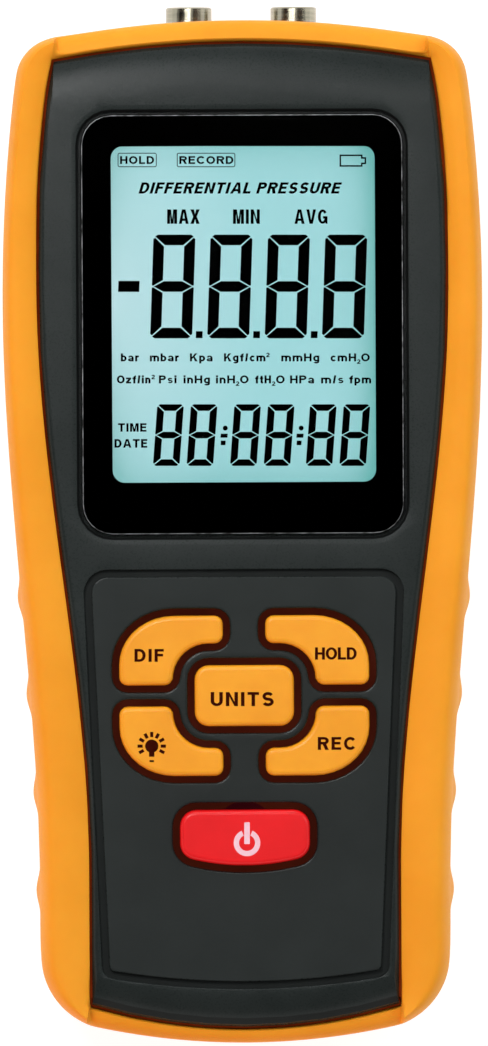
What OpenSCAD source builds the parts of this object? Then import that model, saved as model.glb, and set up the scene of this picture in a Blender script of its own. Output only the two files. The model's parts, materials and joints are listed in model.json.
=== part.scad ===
// Digital manometer in a rubber holster, lying on its back. Millimetres.
// +Z is the face, +Y the end with the pressure ports, +X the right of the display.
// The origin is the middle of the footprint, on the surface that the holster's back rests on.

/* [Outline] */
// Length of the holster from end to end
case_l = 160; // [154:1:170]
// Width of the holster across the grip
grip_w = 64.2; // [63:0.1:66]
// Width of the holster across the display
head_w = 75.2; // [74:0.1:79]
// Height from the back to the crest of the side rolls
case_h = 38; // [38:0.5:44]
// Distance from the bottom end to where the sides start to flare
flare_start = 24; // [20:1:28]
// Distance from the top end to the widest place
flare_from_top = 44; // [40:1:50]
// Radius of the sides above the widest place
shoulder_r = 281; // [240:1:340]
// Radius of the top end, seen from the front
top_r = 167; // [150:1:190]
// Radius of the bottom end, seen from the front
bottom_r = 110; // [100:1:130]
// Radius of the two top corners
top_corner_r = 7; // [6:0.5:8]
// Radius of the two bottom corners
bottom_corner_r = 11.5; // [10.5:0.5:12.5]

/* [Holster] */
// Thickness of the holster's wall
holster_t = 2; // [1.6:0.1:2]
// Radius of the rounded edge round the back
back_r = 6; // [5.5:0.5:7]
// Thickness of the ring that laps over the back
back_ring_t = 1.8; // [1.5:0.1:2]
// Width of the ring that laps over the back
back_ring_w = 10; // [9.5:0.5:10.5]
// Radius of the corners of the opening in the back
back_corner_r = 4; // [3:0.5:5]
// Height of the rounded front edge at the sides
side_roll_h = 7; // [6:0.5:9]
// Height of the rounded front edge at the two ends
end_roll_h = 3; // [2:0.5:4]
// How far the top band lies below the side rolls
top_band_fall = 2; // [1:0.5:2.5]
// How far the bottom band lies below the side rolls
bottom_band_fall = 3; // [2:0.5:3.5]
// How far the edge of the lip lies below its crest
lip_fall = 1.1; // [0.8:0.1:1.4]
// Thickness of the lip at its edge
lip_t = 1.5; // [1.2:0.1:1.8]
// Rounding of the lip's edge
lip_edge = 0.3; // [0.2:0.05:0.4]

/* [Grip ribs] */
// Number of ribs on each side
rib_count = 4; // [3:1:5]
// Distance from one rib to the next
rib_pitch = 15.2; // [13:0.1:16]
// Distance from the bottom end to the middle of the first rib
rib_first = 23.9; // [22:0.1:28]
// Length of a rib
rib_l = 8; // [7:0.1:10]
// How far a rib stands out
rib_h = 0.8; // [0.4:0.1:1]

/* [Window in the holster] */
// Width of the top band on the centre line
top_band = 3.4; // [3:0.1:4]
// Width of the bottom band on the centre line
bottom_band = 2.3; // [2.3:0.1:3]
// Width of the band beside the window at the grip
grip_band_w = 7.75; // [7.2:0.05:8]
// Width of the band beside the window at its widest
head_band_w = 5.4; // [5.2:0.05:5.8]
// How far each side draws in towards the top corner
window_draw = 2.6; // [2:0.1:3]
// Distance from the bottom end to where the window starts to flare
window_flare_start = 28; // [26:1:32]
// Distance from the top end to the window's widest place
window_flare_from_top = 42; // [40:1:48]
// Radius of the window's top edge
window_top_r = 158; // [150:1:170]
// Radius of the window's bottom edge
window_bottom_r = 83; // [78:1:90]

/* [Shells] */
// Gap between the holster and the shells
case_fit = 0.25; // [0.2:0.05:0.3]
// Thickness of the shells' walls
shell_t = 2; // [1.8:0.1:2.2]
// Depth of the parting line between the shells below the ports' axis
parting_drop = 6; // [5.5:0.5:8]
// How far the face lies below the crest of the side rolls
face_fall = 1; // [0.8:0.1:1.4]
// Shadow gap between the lip and the face
lip_gap = 0.4; // [0.4:0.1:0.6]
// Width of the face's rounded edge at the sides
side_edge_w = 1; // [1:0.1:2]
// Height of the face's rounded edge at the sides
side_edge_h = 0.8; // [0.8:0.1:1.2]
// Width of the roll of the face at the top end
top_roll_w = 6; // [5:0.2:6]
// Width of the roll of the face at the bottom end
bottom_roll_w = 4.6; // [4:0.2:5]
// Height of the roll of the face at both ends
end_edge_h = 1.8; // [1.6:0.1:2.2]
// Height of the lip that joins the shells
seam_h = 1.2; // [1:0.1:1.5]
// Gap between parts that fit into each other
fit = 0.25; // [0.2:0.05:0.3]
// How far the raised panel of the back lies above the resting surface
panel_lift = 0.6; // [0.4:0.1:0.8]

/* [Display] */
// Width of the face beside the display window
lens_from_side = 7; // [6.6:0.1:7.6]
// Distance from the display window to the keypad's groove
lens_to_panel = 5.4; // [5.1:0.1:6.5]
// Thickness of the display window
lens_t = 1.8; // [1.5:0.1:2]
// Radius of the window's corners
lens_r = 4.8; // [4:0.1:5.5]
// Distance from the top end of the holster to the display window
lens_from_top = 14.8; // [14.7:0.1:15.6]
// How far the window lies below the face
lens_sink = 0.5; // [0.4:0.1:0.8]
// Gap round the display window
lens_gap = 0.4; // [0.3:0.05:0.45]
// Width of the rounded edge round the display window
recess_edge_w = 1.2; // [0.8:0.1:1.4]
// Thickness of the adhesive frame behind the window
tape_t = 0.2; // [0.15:0.05:0.3]
// Thickness of the ledge that carries the window
ledge_t = 1.2; // [1:0.1:1.4]
// Distance from the sides of the display window to the area that shows
view_from_lens_side = 4.45; // [4.2:0.05:5]
// Distance from the bottom of the display window to the area that shows
view_from_lens_bottom = 8.2; // [7.5:0.1:9]
// Distance from the top of the display window to the area that shows
view_from_lens_top = 5; // [4.5:0.1:6]
// Radius of the corners of the area that shows
view_r = 1.9; // [1:0.1:3]
// Width of the display glass beyond the area that shows
glass_margin = 2.25; // [2:0.05:2.5]
// Thickness of the display glass
glass_t = 2.7; // [2.4:0.1:2.8]
// Thickness of the frame round the display glass
bezel_t = 1.4; // [1.2:0.1:1.6]
// Width of each rubber contact strip
zebra_w = 1.8; // [1.4:0.1:2.2]

/* [Keypad panel] */
// Width of the panel's groove across its top
panel_top_w = 49.9; // [48:0.1:50]
// Width of the panel's groove across its bottom
panel_bottom_w = 44.8; // [44:0.1:45.4]
// Distance from the bottom end to the top of the groove
panel_top = 74.1; // [73:0.1:74.5]
// Distance from the bottom end to the bottom corners of the groove
panel_bottom = 10.6; // [10.2:0.1:12]
// How far the bottom of the groove bows out
panel_bow = 2; // [1.5:0.1:2.2]
// Radius of the groove's top corners
panel_top_r = 3.6; // [2.5:0.1:5]
// Radius of the groove's bottom corners
panel_bottom_r = 2; // [1.5:0.1:3]
// Width of the groove
groove_w = 1.2; // [0.8:0.1:1.2]
// Depth of the groove
groove_d = 0.9; // [0.5:0.1:0.9]

/* [Keys] */
// Distance from the bottom end to the middle of the five keys
keys_from_bottom = 54.4; // [54:0.1:55]
// Distance from the centre line to the outside of a corner key
corner_key_x = 19.5; // [19:0.1:19.8]
// Distance from the middle of the five keys to the far side of a corner key
corner_key_y = 12.5; // [12.2:0.1:13]
// Width of the bare column between the corner keys
column_w = 6.6; // [6.2:0.1:7]
// Width of the bare row between the corner keys
row_w = 3.3; // [3.2:0.1:3.8]
// Width of the large rounded corner
big_corner_w = 8.6; // [6:0.1:9.4]
// Height of the large rounded corner
big_corner_h = 7.6; // [6:0.1:8]
// Radius of the small corners
small_corner_r = 1.3; // [0.9:0.1:1.4]
// Width of the middle key
units_w = 15.5; // [15:0.1:16]
// Height of the middle key
units_h = 9.5; // [9:0.1:10]
// Radius of the corners of the middle key
units_r = 2.2; // [1.8:0.1:2.6]
// Distance between the middle key and a corner key
key_spacing = 3.4; // [3.2:0.1:3.5]
// Distance from the bottom end to the straight top of the power key
power_top = 36.6; // [36:0.1:37]
// Width of the power key
power_w = 20.3; // [19:0.1:21]
// Height of the power key at its sides
power_h = 7.2; // [6.8:0.1:7.6]
// How far the lower side of the power key bows out
power_bow = 1.5; // [1.2:0.1:1.8]
// Radius of the corners of the power key
power_r = 2.6; // [1.8:0.1:2.6]
// Gap round every key
key_gap = 1.1; // [0.9:0.05:1.15]
// Rounding of the edges of the key openings
key_rim = 0.35; // [0.2:0.05:0.4]
// Height of the keys above the face
key_stand = 1.4; // [1.3:0.1:1.6]
// Radius of the rounded edge of a key
key_edge_r = 0.8; // [0.6:0.1:1.2]
// Travel of a key
key_travel = 1; // [0.8:0.05:1.05]
// Thickness of the rubber sheet under the keys
mat_t = 0.8; // [0.6:0.1:1]
// Height of the collar that carries a key
dome_h = 1.2; // [1.2:0.05:1.3]
// Radius of the collar at its top
dome_top_r = 3.6; // [3.4:0.1:3.8]
// Radius of the collar at its foot
dome_foot_r = 4.8; // [4.5:0.1:5]
// Width of the collar's top and foot faces
dome_land = 0.6; // [0.5:0.05:0.7]
// Radius of a carbon pill
pill_r = 2.5; // [2:0.1:2.6]
// Thickness of a carbon pill
pill_t = 0.5; // [0.4:0.05:0.5]
// Width of the rubber sheet beyond the keys
mat_margin = 2; // [1.5:0.1:2.5]
// Radius of the posts that hold the rubber sheet down
post_r = 1.3; // [1:0.1:1.4]
// Distance of the lower posts from the centre line
post_x = 16; // [15.5:0.1:16.5]

/* [Board] */
// Depth of the board's front below the face
board_depth = 9.5; // [9:0.1:9.5]
// Thickness of the board
board_t = 1.6; // [1.4:0.1:1.6]
// Distance from the bottom end to the lower edge of the board
board_from_bottom = 17.5; // [17:0.5:19]
// Distance from the top end to the board's shoulders
board_shoulder = 19.5; // [19:0.5:21]
// Distance from the top end to the upper edge of the board
board_from_top = 14.5; // [14:0.5:14.5]
// Distance from the sides of the board's upper tongue to the middle of the case screws
board_tongue_gap = 3.3; // [3:0.1:3.4]
// Gap between the board and the shell
board_fit = 0.5; // [0.3:0.1:0.7]
// Side of the processor's package
processor_w = 14; // [12:0.5:15]
// Width of the small chips
chip_w = 4; // [3.5:0.1:5]
// Length of the small chips
chip_l = 6; // [5:0.1:7]
// Thickness of the chips
chip_t = 1.6; // [1:0.1:2]
// Radius of the storage capacitor
capacitor_r = 3; // [2.5:0.1:3.5]
// Height of the storage capacitor
capacitor_h = 5.4; // [4:0.1:6]
// Width of the crystal's can
crystal_w = 3.8; // [3.5:0.1:4.5]
// Length of the crystal's can
crystal_l = 10; // [8:0.1:11]

/* [Ports] */
// Radius of a pressure port
port_r = 3.6; // [3.4:0.1:3.8]
// Distance between the two ports
port_spacing = 16.4; // [16:0.1:17]
// Depth of the ports' axis below the board
port_depth = 5.9; // [5.6:0.1:6.2]
// How far the ports stand beyond the holster
port_stand = 2.2; // [2:0.1:4]
// Radius of the bore through a port
port_bore_r = 1.5; // [1:0.1:1.5]
// Radius of the collar of a port
port_collar_r = 5; // [4.8:0.1:5.2]
// Thickness of the collar of a port
port_collar_t = 1; // [0.8:0.1:1.2]
// Radius of the thread of a port
port_thread_r = 3; // [2.6:0.1:3.2]
// Thickness of the rubber seal under the collar
seal_t = 0.8; // [0.6:0.1:1]
// Thickness of the end wall at the ports
port_wall_t = 3.4; // [3:0.1:4]
// Length of thread left beyond the nuts
thread_spare = 1; // [0.8:0.1:1.4]
// Chamfer of the ports' rims
port_chamfer = 0.2; // [0.2:0.1:0.5]
// Width across the flats of the nuts
nut_w = 9; // [8.5:0.1:9.2]
// Thickness of the nuts
nut_t = 2.2; // [2:0.1:2.5]
// Radius of the hose barbs inside
barb_r = 1.9; // [1.8:0.05:2]
// Length of the hose barbs inside
barb_l = 5.6; // [5:0.1:6]
// Thickness of the rubber tubes' walls
tube_t = 1; // [0.8:0.1:1.1]
// Radius of the bends in the rubber tubes
tube_bend_r = 12; // [11:0.5:14]
// Width of the slot for the ports in the holster
port_slot_w = 29; // [28.5:0.5:30]
// Height of the slot for the ports in the holster
port_slot_h = 12.6; // [12:0.2:13]

/* [Pressure sensor] */
// Width of the sensor
sensor_w = 18; // [16:1:20]
// Length of the sensor
sensor_l = 14; // [12:1:15]
// Depth of the sensor below its nozzles' axis
sensor_drop = 3.5; // [3.2:0.1:4]
// Length of the sensor's legs
leg_l = 1.4; // [1:0.1:1.6]
// Radius of a leg
leg_r = 0.4; // [0.3:0.05:0.5]
// Distance between the sensor's two nozzles
nozzle_spacing = 7; // [7:0.2:8]

/* [USB inlet] */
// Distance from the top end to the middle of the inlet
usb_from_top = 68; // [64:1:70]
// Width of the inlet
usb_w = 7.7; // [7:0.1:8]
// Height of the inlet
usb_h = 3.9; // [3.6:0.1:4]
// Length of the inlet
usb_l = 9.2; // [8.5:0.1:10]
// Thickness of the inlet's metal
usb_metal_t = 0.35; // [0.3:0.05:0.4]
// Width of the tongue in the inlet
usb_tongue_w = 3.5; // [3:0.1:4]
// Thickness of the tongue in the inlet
usb_tongue_t = 1; // [0.8:0.1:1.2]
// Distance of the tongue from the inlet's mouth
usb_tongue_in = 1.3; // [1:0.1:1.6]
// Space round the inlet in the shell
usb_gap = 0.4; // [0.3:0.05:0.5]
// Space round the inlet in the holster
usb_access = 2.4; // [2:0.1:3]

/* [Battery] */
// Width of the battery
battery_w = 26.5; // [25.5:0.1:26.5]
// Length of the battery without its terminals
battery_l = 45.7; // [45:0.1:46.5]
// Space between the battery bay and the board, which sets the battery's thickness
bay_from_board = 3.4; // [3:0.1:3.6]
// Radius of the battery's edges
battery_r = 2.5; // [1.5:0.1:3]
// Height of the battery's terminals
terminal_h = 2.8; // [2.6:0.1:3]
// Distance between the terminals
terminal_spacing = 12.7; // [12.5:0.1:13]
// Radius of a terminal
terminal_r = 3.2; // [3:0.1:3.4]
// Thickness of the battery snap
snap_t = 5; // [4.5:0.1:5.5]
// Distance from the bottom end to the battery bay
bay_from_bottom = 16; // [15.5:0.5:17]
// Space at the lower end of the battery
battery_play = 1.2; // [1.2:0.1:1.6]
// Space round the battery's sides
battery_fit = 0.5; // [0.3:0.1:0.6]
// Thickness of the battery bay's walls
bay_t = 1.2; // [1:0.1:1.4]
// Distance of the snap's sides from the battery's
snap_edge = 1; // [0.8:0.1:1.2]
// Radius of a lead of the snap
lead_r = 0.7; // [0.6:0.05:0.8]
// Radius of the bend in a lead
lead_bend_r = 3; // [2.5:0.1:3.2]
// Room above the snap for the leads
lead_room = 6; // [5.6:0.1:6.5]

/* [Battery door] */
// Thickness of the battery door
door_t = 1.6; // [1.4:0.1:1.7]
// How far the door laps over the edge of the bay
door_lap = 1.5; // [1.2:0.1:1.8]
// Radius of the door's corners
door_r = 2; // [1.5:0.1:3]
// Thickness of the foam pad
foam_t = 1; // [0.8:0.1:1.2]
// Distance of the foam pad from the battery's edges
foam_margin = 5; // [4:0.5:8]
// Width of each tab
tab_w = 5; // [4:0.5:6]
// Distance between the two tabs
tab_spacing = 16; // [14:0.5:17]
// How far a tab reaches under the shell
tab_reach = 2.2; // [1.8:0.1:2.4]
// Thickness of a tab
tab_t = 1; // [0.8:0.1:1.1]
// Number of ridges for the thumb
ridge_count = 4; // [2:1:5]
// Distance between the ridges
ridge_pitch = 2.4; // [2:0.1:3]
// Radius of a ridge
ridge_r = 0.35; // [0.2:0.05:0.4]
// Length of a ridge
ridge_l = 14; // [10:1:18]
// Depth of the scoop for a fingernail
scoop_d = 0.9; // [0.6:0.1:1.2]
// Radius of the scoop
scoop_r = 9; // [7:0.5:11]
// Width of the scoop
scoop_w = 13; // [10:1:16]

/* [Screws] */
// Radius of the case screws
case_screw_r = 1.5; // [1.3:0.1:1.6]
// Radius of the case screws' heads
case_head_r = 2.7; // [2.4:0.1:2.8]
// Thickness of the case screws' heads
case_head_t = 2; // [1.6:0.1:2.2]
// Length of the case screws under the head
case_screw_l = 15; // [13:0.5:16]
// Radius of the bosses for the case screws
boss_r = 3.4; // [3.2:0.1:3.5]
// Distance of the upper case screws from the side at the widest place
upper_screw_in = 9.6; // [9.4:0.1:9.8]
// Distance from the top end to the upper case screws
upper_screw_y = 13.5; // [13:0.1:13.8]
// Distance of the lower case screws from the side at the grip
lower_screw_in = 8.5; // [8.3:0.1:8.7]
// Distance from the bottom end to the lower case screws
lower_screw_y = 10.6; // [10.4:0.1:10.8]
// Radius of the board screws
board_screw_r = 1.2; // [1:0.1:1.3]
// Radius of the board screws' heads
board_head_r = 2.2; // [2:0.1:2.3]
// Thickness of the board screws' heads
board_head_t = 1.5; // [1.2:0.1:1.6]
// Length of the board screws under the head
board_screw_l = 6; // [5:0.5:6.5]
// Radius of the bosses for the board screws
board_boss_r = 2.6; // [2.4:0.1:2.6]
// Distance of the upper board screws from the side at the widest place
board_screw_up_in = 9.2; // [9:0.1:9.4]
// Distance from the top end to the upper board screws
board_screw_up_y = 36; // [34:1:42]
// Distance of the lower board screws from the side at the grip
board_screw_low_in = 7.7; // [7.5:0.1:7.9]
// Distance from the bottom end to the lower board screws
board_screw_low_y = 28; // [27:1:30]

/* [Hidden] */

orange = "#F7A02B";
dark_grey = "#343A39";
black = "#101112";

// Overrun of every cut
cut = 1;
// Smallest gap left between pieces that only pass each other
hair = 0.1;
facets = 48;

// Half the length of the holster, which the distances from its ends are taken from
end_y = case_l / 2;
// The footprint's middle lies this far above the holster's middle
middle_y = port_stand / 2;
body_d = holster_t + case_fit;
back_z = back_ring_t + case_fit;
face_z = case_h - face_fall;
face_under_z = face_z - shell_t;
flare_start_y = flare_start - end_y;
flare_end_y = end_y - flare_from_top;
window_grip_w = grip_w - 2 * grip_band_w;
window_head_w = head_w - 2 * head_band_w;
window_flare_start_y = window_flare_start - end_y;
window_flare_y = end_y - window_flare_from_top;

// Levels of the stack under the face
board_top_z = face_z - board_depth;
board_back_z = board_top_z - board_t;
port_z = board_back_z - port_depth;
parting_z = port_z - parting_drop;

lens_w = window_head_w - 2 * lens_from_side;
lens_l = case_l - lens_from_top - lens_to_panel - panel_top;
view_w = lens_w - 2 * view_from_lens_side;
view_l = lens_l - view_from_lens_top - view_from_lens_bottom;

upper_screw_x = head_w / 2 - upper_screw_in;
lower_screw_x = grip_w / 2 - lower_screw_in;
board_screw_up_x = head_w / 2 - board_screw_up_in;
board_screw_low_x = grip_w / 2 - board_screw_low_in;
board_tongue_w = 2 * (upper_screw_x - board_tongue_gap);

// Angles of straight down and straight up, seen from the front
down = -90;
up = 90;

// Stations along half of a loop: bottom end, bottom corner, top corner, top end
holster_counts = [5, 7, 5, 6];
shell_counts = [4, 6, 4, 4];
// Places of those stations along the bottom corner, the top end, and the window's top end. The creases
// between the side rolls and the lower end bands lie between two close ones.
holster_low_shares = [0, 0.07, 0.13, 0.3, 0.48, 0.66, 0.83, 1];
holster_top_shares = [0, 0.018, 0.036, 0.3, 0.55, 0.78, 1];
holster_window_shares = [0, 0.006, 0.03, 0.28, 0.52, 0.76, 1];
shell_low_shares = [0, 0.17, 0.33, 0.5, 0.67, 0.83, 1];
shell_top_shares = [0, 0.25, 0.5, 0.75, 1];
shell_side_count = 9;
upper_side_count = 8;
// Where the crest lies between the outer edge and the lip's edge, at the sides and at the two ends
side_crest_share = 0.3;
end_crest_share = 0.85;
// Heights of the rings that carry the ribs, between the back's edge and the roll
rib_ring_shares = [0.12, 0.3, 0.5, 0.7, 0.88];
// How far a rib stands out at each of those rings
rib_rise_shares = [0, 0.75, 1, 0.75, 0];
// Places along a rib and how far it stands out there
rib_place_shares = [-1, -0.67, -0.33, 0, 0.33, 0.67, 1];
rib_bulge_shares = [0, 0.25, 0.75, 1, 0.75, 0.25, 0];
// Reach of the slope of the shell's shoulder under the corners of the holster
crease_l = 5;
// Reach of the change from the rolled ends of the face to its sides
roll_reach = 9;
// Where the shoulder under the lip turns over
shoulder_share = 0.25;
shoulder_r_h = 1;

function lerp(a, b, t) = a + (b - a) * t;
function smooth(t) = let (c = min(max(t, 0), 1)) c * c * (3 - 2 * c);
function sagitta(r, x) = r - sqrt(r * r - x * x);
function arc(centre, rx, ry, from, to, n) =
    [for (i = [0 : n]) let (a = lerp(from, to, i / n)) centre + [rx * cos(a), ry * sin(a)]];
// Upper meeting point of two circles
function meet(p, rp, q, rq) =
    let (v = q - p, d = norm(v), u = v / d, a = (rp * rp - rq * rq + d * d) / (2 * d))
    p + a * u + sqrt(rp * rp - a * a) * [-u[1], u[0]];
function tail(list) = [for (i = [1 : len(list) - 1]) list[i]];
// A half loop on the right, from the bottom to the top, closed by its mirror image
function both_sides(half) =
    concat(half, [for (i = [len(half) - 2 : -1 : 1])
        [-half[i][0], for (k = [1 : len(half[i]) - 1]) half[i][k]]]);
// A half loop that starts on the centre line and ends off it, closed by its mirror image
function both_halves(half) = concat(half, [for (i = [len(half) - 1 : -1 : 1]) [-half[i][0], half[i][1]]]);
function reversed(list) = [for (i = [len(list) - 1 : -1 : 0]) list[i]];
function at_z(loop, z) = [for (p = loop) [p[0], p[1], z]];

// Half width of the holster at height y
function side_x(y) =
    y > flare_end_y
        ? head_w / 2 - sagitta(shoulder_r, y - flare_end_y)
        : lerp(grip_w, head_w, smooth((y - flare_start_y) / (flare_end_y - flare_start_y))) / 2;

// Corner circles of the outline at inset d: centres, radii and where they meet its sides and ends
function corners(d, least_r) =
    let (
        low_r = max(bottom_corner_r - d, least_r),
        low_x = grip_w / 2 - d - low_r,
        low_arc_y = bottom_r - end_y,
        low_y = low_arc_y - sqrt(pow(bottom_r - d - low_r, 2) - low_x * low_x),
        top_arc = [0, end_y - top_r],
        side_arc = [head_w / 2 - shoulder_r, flare_end_y],
        up_r = max(top_corner_r - d, least_r),
        up = meet(side_arc, shoulder_r - d - up_r, top_arc, top_r - d - up_r),
        side_a = atan2(up[1] - side_arc[1], up[0] - side_arc[0]),
        top_a = atan2(up[1] - top_arc[1], up[0])
    )
    [[low_x, low_y], low_r, atan2(low_x, low_arc_y - low_y), up, up_r, side_a, top_a];

// Ends of the straight run of the sides at inset d
function side_ends(d, least_r) =
    let (c = corners(d, least_r)) [c[0][1], c[3][1] + c[4] * sin(c[5])];

// Arc with stations at the given shares of its angle
function arc_at(centre, r, from, to, shares) =
    [for (s = shares) let (a = lerp(from, to, s)) centre + [r * cos(a), r * sin(a)]];

// Half of the outline at inset d, with stations at the given shares of the side, of the bottom corner
// and of the top end
function outline(d, shares, n, low, top, least_r = back_corner_r) =
    let (c = corners(d, least_r), ends = side_ends(d, least_r))
    concat(
        arc([0, bottom_r - end_y], bottom_r - d, bottom_r - d, down, c[2] + down, n[0]),
        tail(arc_at(c[0], c[1], c[2] + down, 0, low)),
        [for (s = shares) let (y = lerp(ends[0], ends[1], s)) [side_x(y) - d, y]],
        arc(c[3], c[4], c[4], c[5], c[6], n[2]),
        tail(arc_at([0, end_y - top_r], top_r - d, c[6], up, top))
    );

// The window in the holster: half width at height y, and its two ends at half width x
window_corner_x = window_head_w / 2 - window_draw;
function window_top(x) = end_y - top_band - sagitta(window_top_r, x);
function window_bottom(x) = bottom_band - end_y + sagitta(window_bottom_r, x);
window_corner_y = window_top(window_corner_x);
function window_x(y) =
    lerp(window_grip_w, window_head_w,
         smooth((y - window_flare_start_y) / (window_flare_y - window_flare_start_y))) / 2
    - window_draw * pow(max(0, (y - window_flare_y) / (window_corner_y - window_flare_y)), 3);

// Half of the window's loop, drawn in by ds at the sides, dt at the top and db at the bottom,
// with one point for each station of the outline
function window_loop(outer, n, top, ds, dt, db) =
    let (
        last = len(outer) - 1,
        x_low = window_grip_w / 2 - ds,
        y_low = window_bottom(x_low) + db,
        x_top = window_x(window_top(window_corner_x) - dt) - ds,
        y_top = window_top(x_top) - dt,
        from = outer[n[0]][1],
        to = outer[last - n[3]][1]
    )
    [for (i = [0 : last])
        i < n[0]
            ? let (x = x_low * i / n[0]) [x, window_bottom(x) + db]
            : i >= last - n[3]
                ? let (x = x_top * (1 - top[i - last + n[3]])) [x, window_top(x) - dt]
                : let (y = lerp(y_low, y_top, (outer[i][1] - from) / (to - from))) [window_x(y) - ds, y]];

// 1 on the two ends of an outline, 0 on its sides, with a soft change over the reach
function end_share(outer, n, i, reach) =
    let (from = outer[n[0]][1], to = outer[len(outer) - 1 - n[3]][1])
    1 - smooth(min(max(outer[i][1] - from, 0), max(to - outer[i][1], 0)) / reach);

// How far the end bands lie below the side rolls, above and below the middle
function band_fall(y) = y > 0 ? top_band_fall : bottom_band_fall;
lip_drop = lip_fall + lip_edge + lip_t;

// Cap of a loop whose point i faces point k - i across it
function cap(n, k, first, up) =
    [for (i = [0 : floor((n + k) / 2) - 1])
        let (
            a = i,
            b = i + 1,
            c = (k - b + n) % n,
            d = (k - a + n) % n,
            quad = a == d ? [a, b, c] : b == c ? [a, b, d] : [a, b, c, d],
            last = len(quad) - 1
        )
        if (len(quad) > 2) [for (j = [0 : last]) first + quad[up ? last - j : j]]];

// A solid whose skin runs through rings of points, closed on itself or capped at both ends
module skin(rings, k = 0, closed = false) {
    n = len(rings[0]);
    m = len(rings);
    sides = [
        for (r = [0 : m - (closed ? 1 : 2)], i = [0 : n - 1])
            let (a = r * n + i, b = r * n + (i + 1) % n, s = ((r + 1) % m) * n)
            each [[a, s + i, s + (i + 1) % n], [a, s + (i + 1) % n, b]]
    ];
    polyhedron(
        points = [for (r = rings) each r],
        faces = concat(sides, closed ? [] : concat(cap(n, k, 0, false), cap(n, k, (m - 1) * n, true)))
    );
}

// Places a piece, drawn about the middle of the holster, in the frame of the whole object
module placed() {
    translate([0, -middle_y, 0]) children();
}

module left_and_right() {
    children();
    mirror([1, 0, 0]) children();
}

// Steps along the corner of a plate, a corner of a key, and a wide curve of a key
corner_steps = 6;
small_steps = 4;
wide_steps = 9;

// Rounded rectangle, mirrored left to right
function rounded_half(w, l, r, n = corner_steps) =
    concat(arc([w / 2 - r, r - l / 2], r, r, down, 0, n), arc([w / 2 - r, l / 2 - r], r, r, 0, up, n));
function rounded(w, l, r, n = corner_steps) =
    let (half = rounded_half(w, l, r, n))
    concat(half, [for (i = [len(half) - 1 : -1 : 0]) [-half[i][0], half[i][1]]]);
module plate(w, l, r, z0, z1) {
    translate([0, 0, z0]) linear_extrude(z1 - z0) polygon(rounded(w, l, r));
}
module block(x, y, z) {
    translate([x[0], y[0], z[0]]) cube([x[1] - x[0], y[1] - y[0], z[1] - z[0]]);
}
module rod(r, z0, z1) {
    translate([0, 0, z0]) cylinder(r = r, h = z1 - z0, $fn = facets);
}

// Outline of the shells at inset d
shell_shares = [for (i = [1 : shell_side_count]) i / (shell_side_count + 1)];
function shell_half(d) = outline(d, shell_shares, shell_counts, shell_low_shares, shell_top_shares);
shell_outer = shell_half(0);
function shell_loop(d) = both_sides(shell_half(d));
module shell_prism(d, z0, z1) {
    translate([0, 0, z0]) linear_extrude(z1 - z0) polygon(shell_loop(d));
}
function shell_window(ds, dt, db) = window_loop(shell_outer, shell_counts, shell_top_shares, ds, dt, db);

// Holster

holster_ends = side_ends(0, back_corner_r);
function rib_y(i) = rib_first + i * rib_pitch - end_y;
rib_top_y = rib_y(rib_count - 1) + rib_l / 2;
holster_side_y = concat(
    [for (i = [0 : rib_count - 1], s = rib_place_shares) rib_y(i) + s * rib_l / 2],
    [for (i = [1 : upper_side_count]) lerp(rib_top_y, holster_ends[1], i / (upper_side_count + 1))]
);
holster_shares = [for (y = holster_side_y) (y - holster_ends[0]) / (holster_ends[1] - holster_ends[0])];
function holster_loop(d) =
    outline(d, holster_shares, holster_counts, holster_low_shares, holster_top_shares);
holster_outer = holster_loop(0);
holster_last = len(holster_outer) - 1;
holster_window = window_loop(holster_outer, holster_counts, holster_window_shares, 0, 0, 0);
first_side = holster_counts[0] + holster_counts[1] + 1;
function bulge(i) =
    let (s = i - first_side)
    s < 0 || s >= rib_count * len(rib_place_shares) ? 0 : rib_h * rib_bulge_shares[s % len(rib_place_shares)];
// The end bands reach from the centre line to the crease beside each corner of the window
low_crease = holster_counts[0] + 1;
top_crease = holster_last - holster_counts[3] + 2;
function on_band(i) = i <= low_crease || i >= top_crease;
function holster_crest(i) = case_h - (on_band(i) ? band_fall(holster_outer[i][1]) : 0);
function lip_under_z(i) = holster_crest(i) - lip_drop;
// Ring over the roll, from its foot at the outer edge to the crest
function roll_ring(a) =
    [for (i = [0 : holster_last])
        let (
            across = (1 - cos(a)) * (on_band(i) ? end_crest_share : side_crest_share),
            p = lerp(holster_outer[i], holster_window[i], across)
        )
        [p[0], p[1], holster_crest(i) - (1 - sin(a)) * (on_band(i) ? end_roll_h : side_roll_h)]];
// Ring over the lip, from the crest to the lip's edge: share across, drop below the crest
function lip_ring(share, drop) =
    [for (i = [0 : holster_last])
        let (
            across = lerp(on_band(i) ? end_crest_share : side_crest_share, 1, share),
            p = lerp(holster_outer[i], holster_window[i], across)
        )
        [p[0], p[1], holster_crest(i) - drop]];
back_angles = [0, 30, 60, 90];
roll_angles = [0, 22.5, 45, 67.5, 90];
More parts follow.
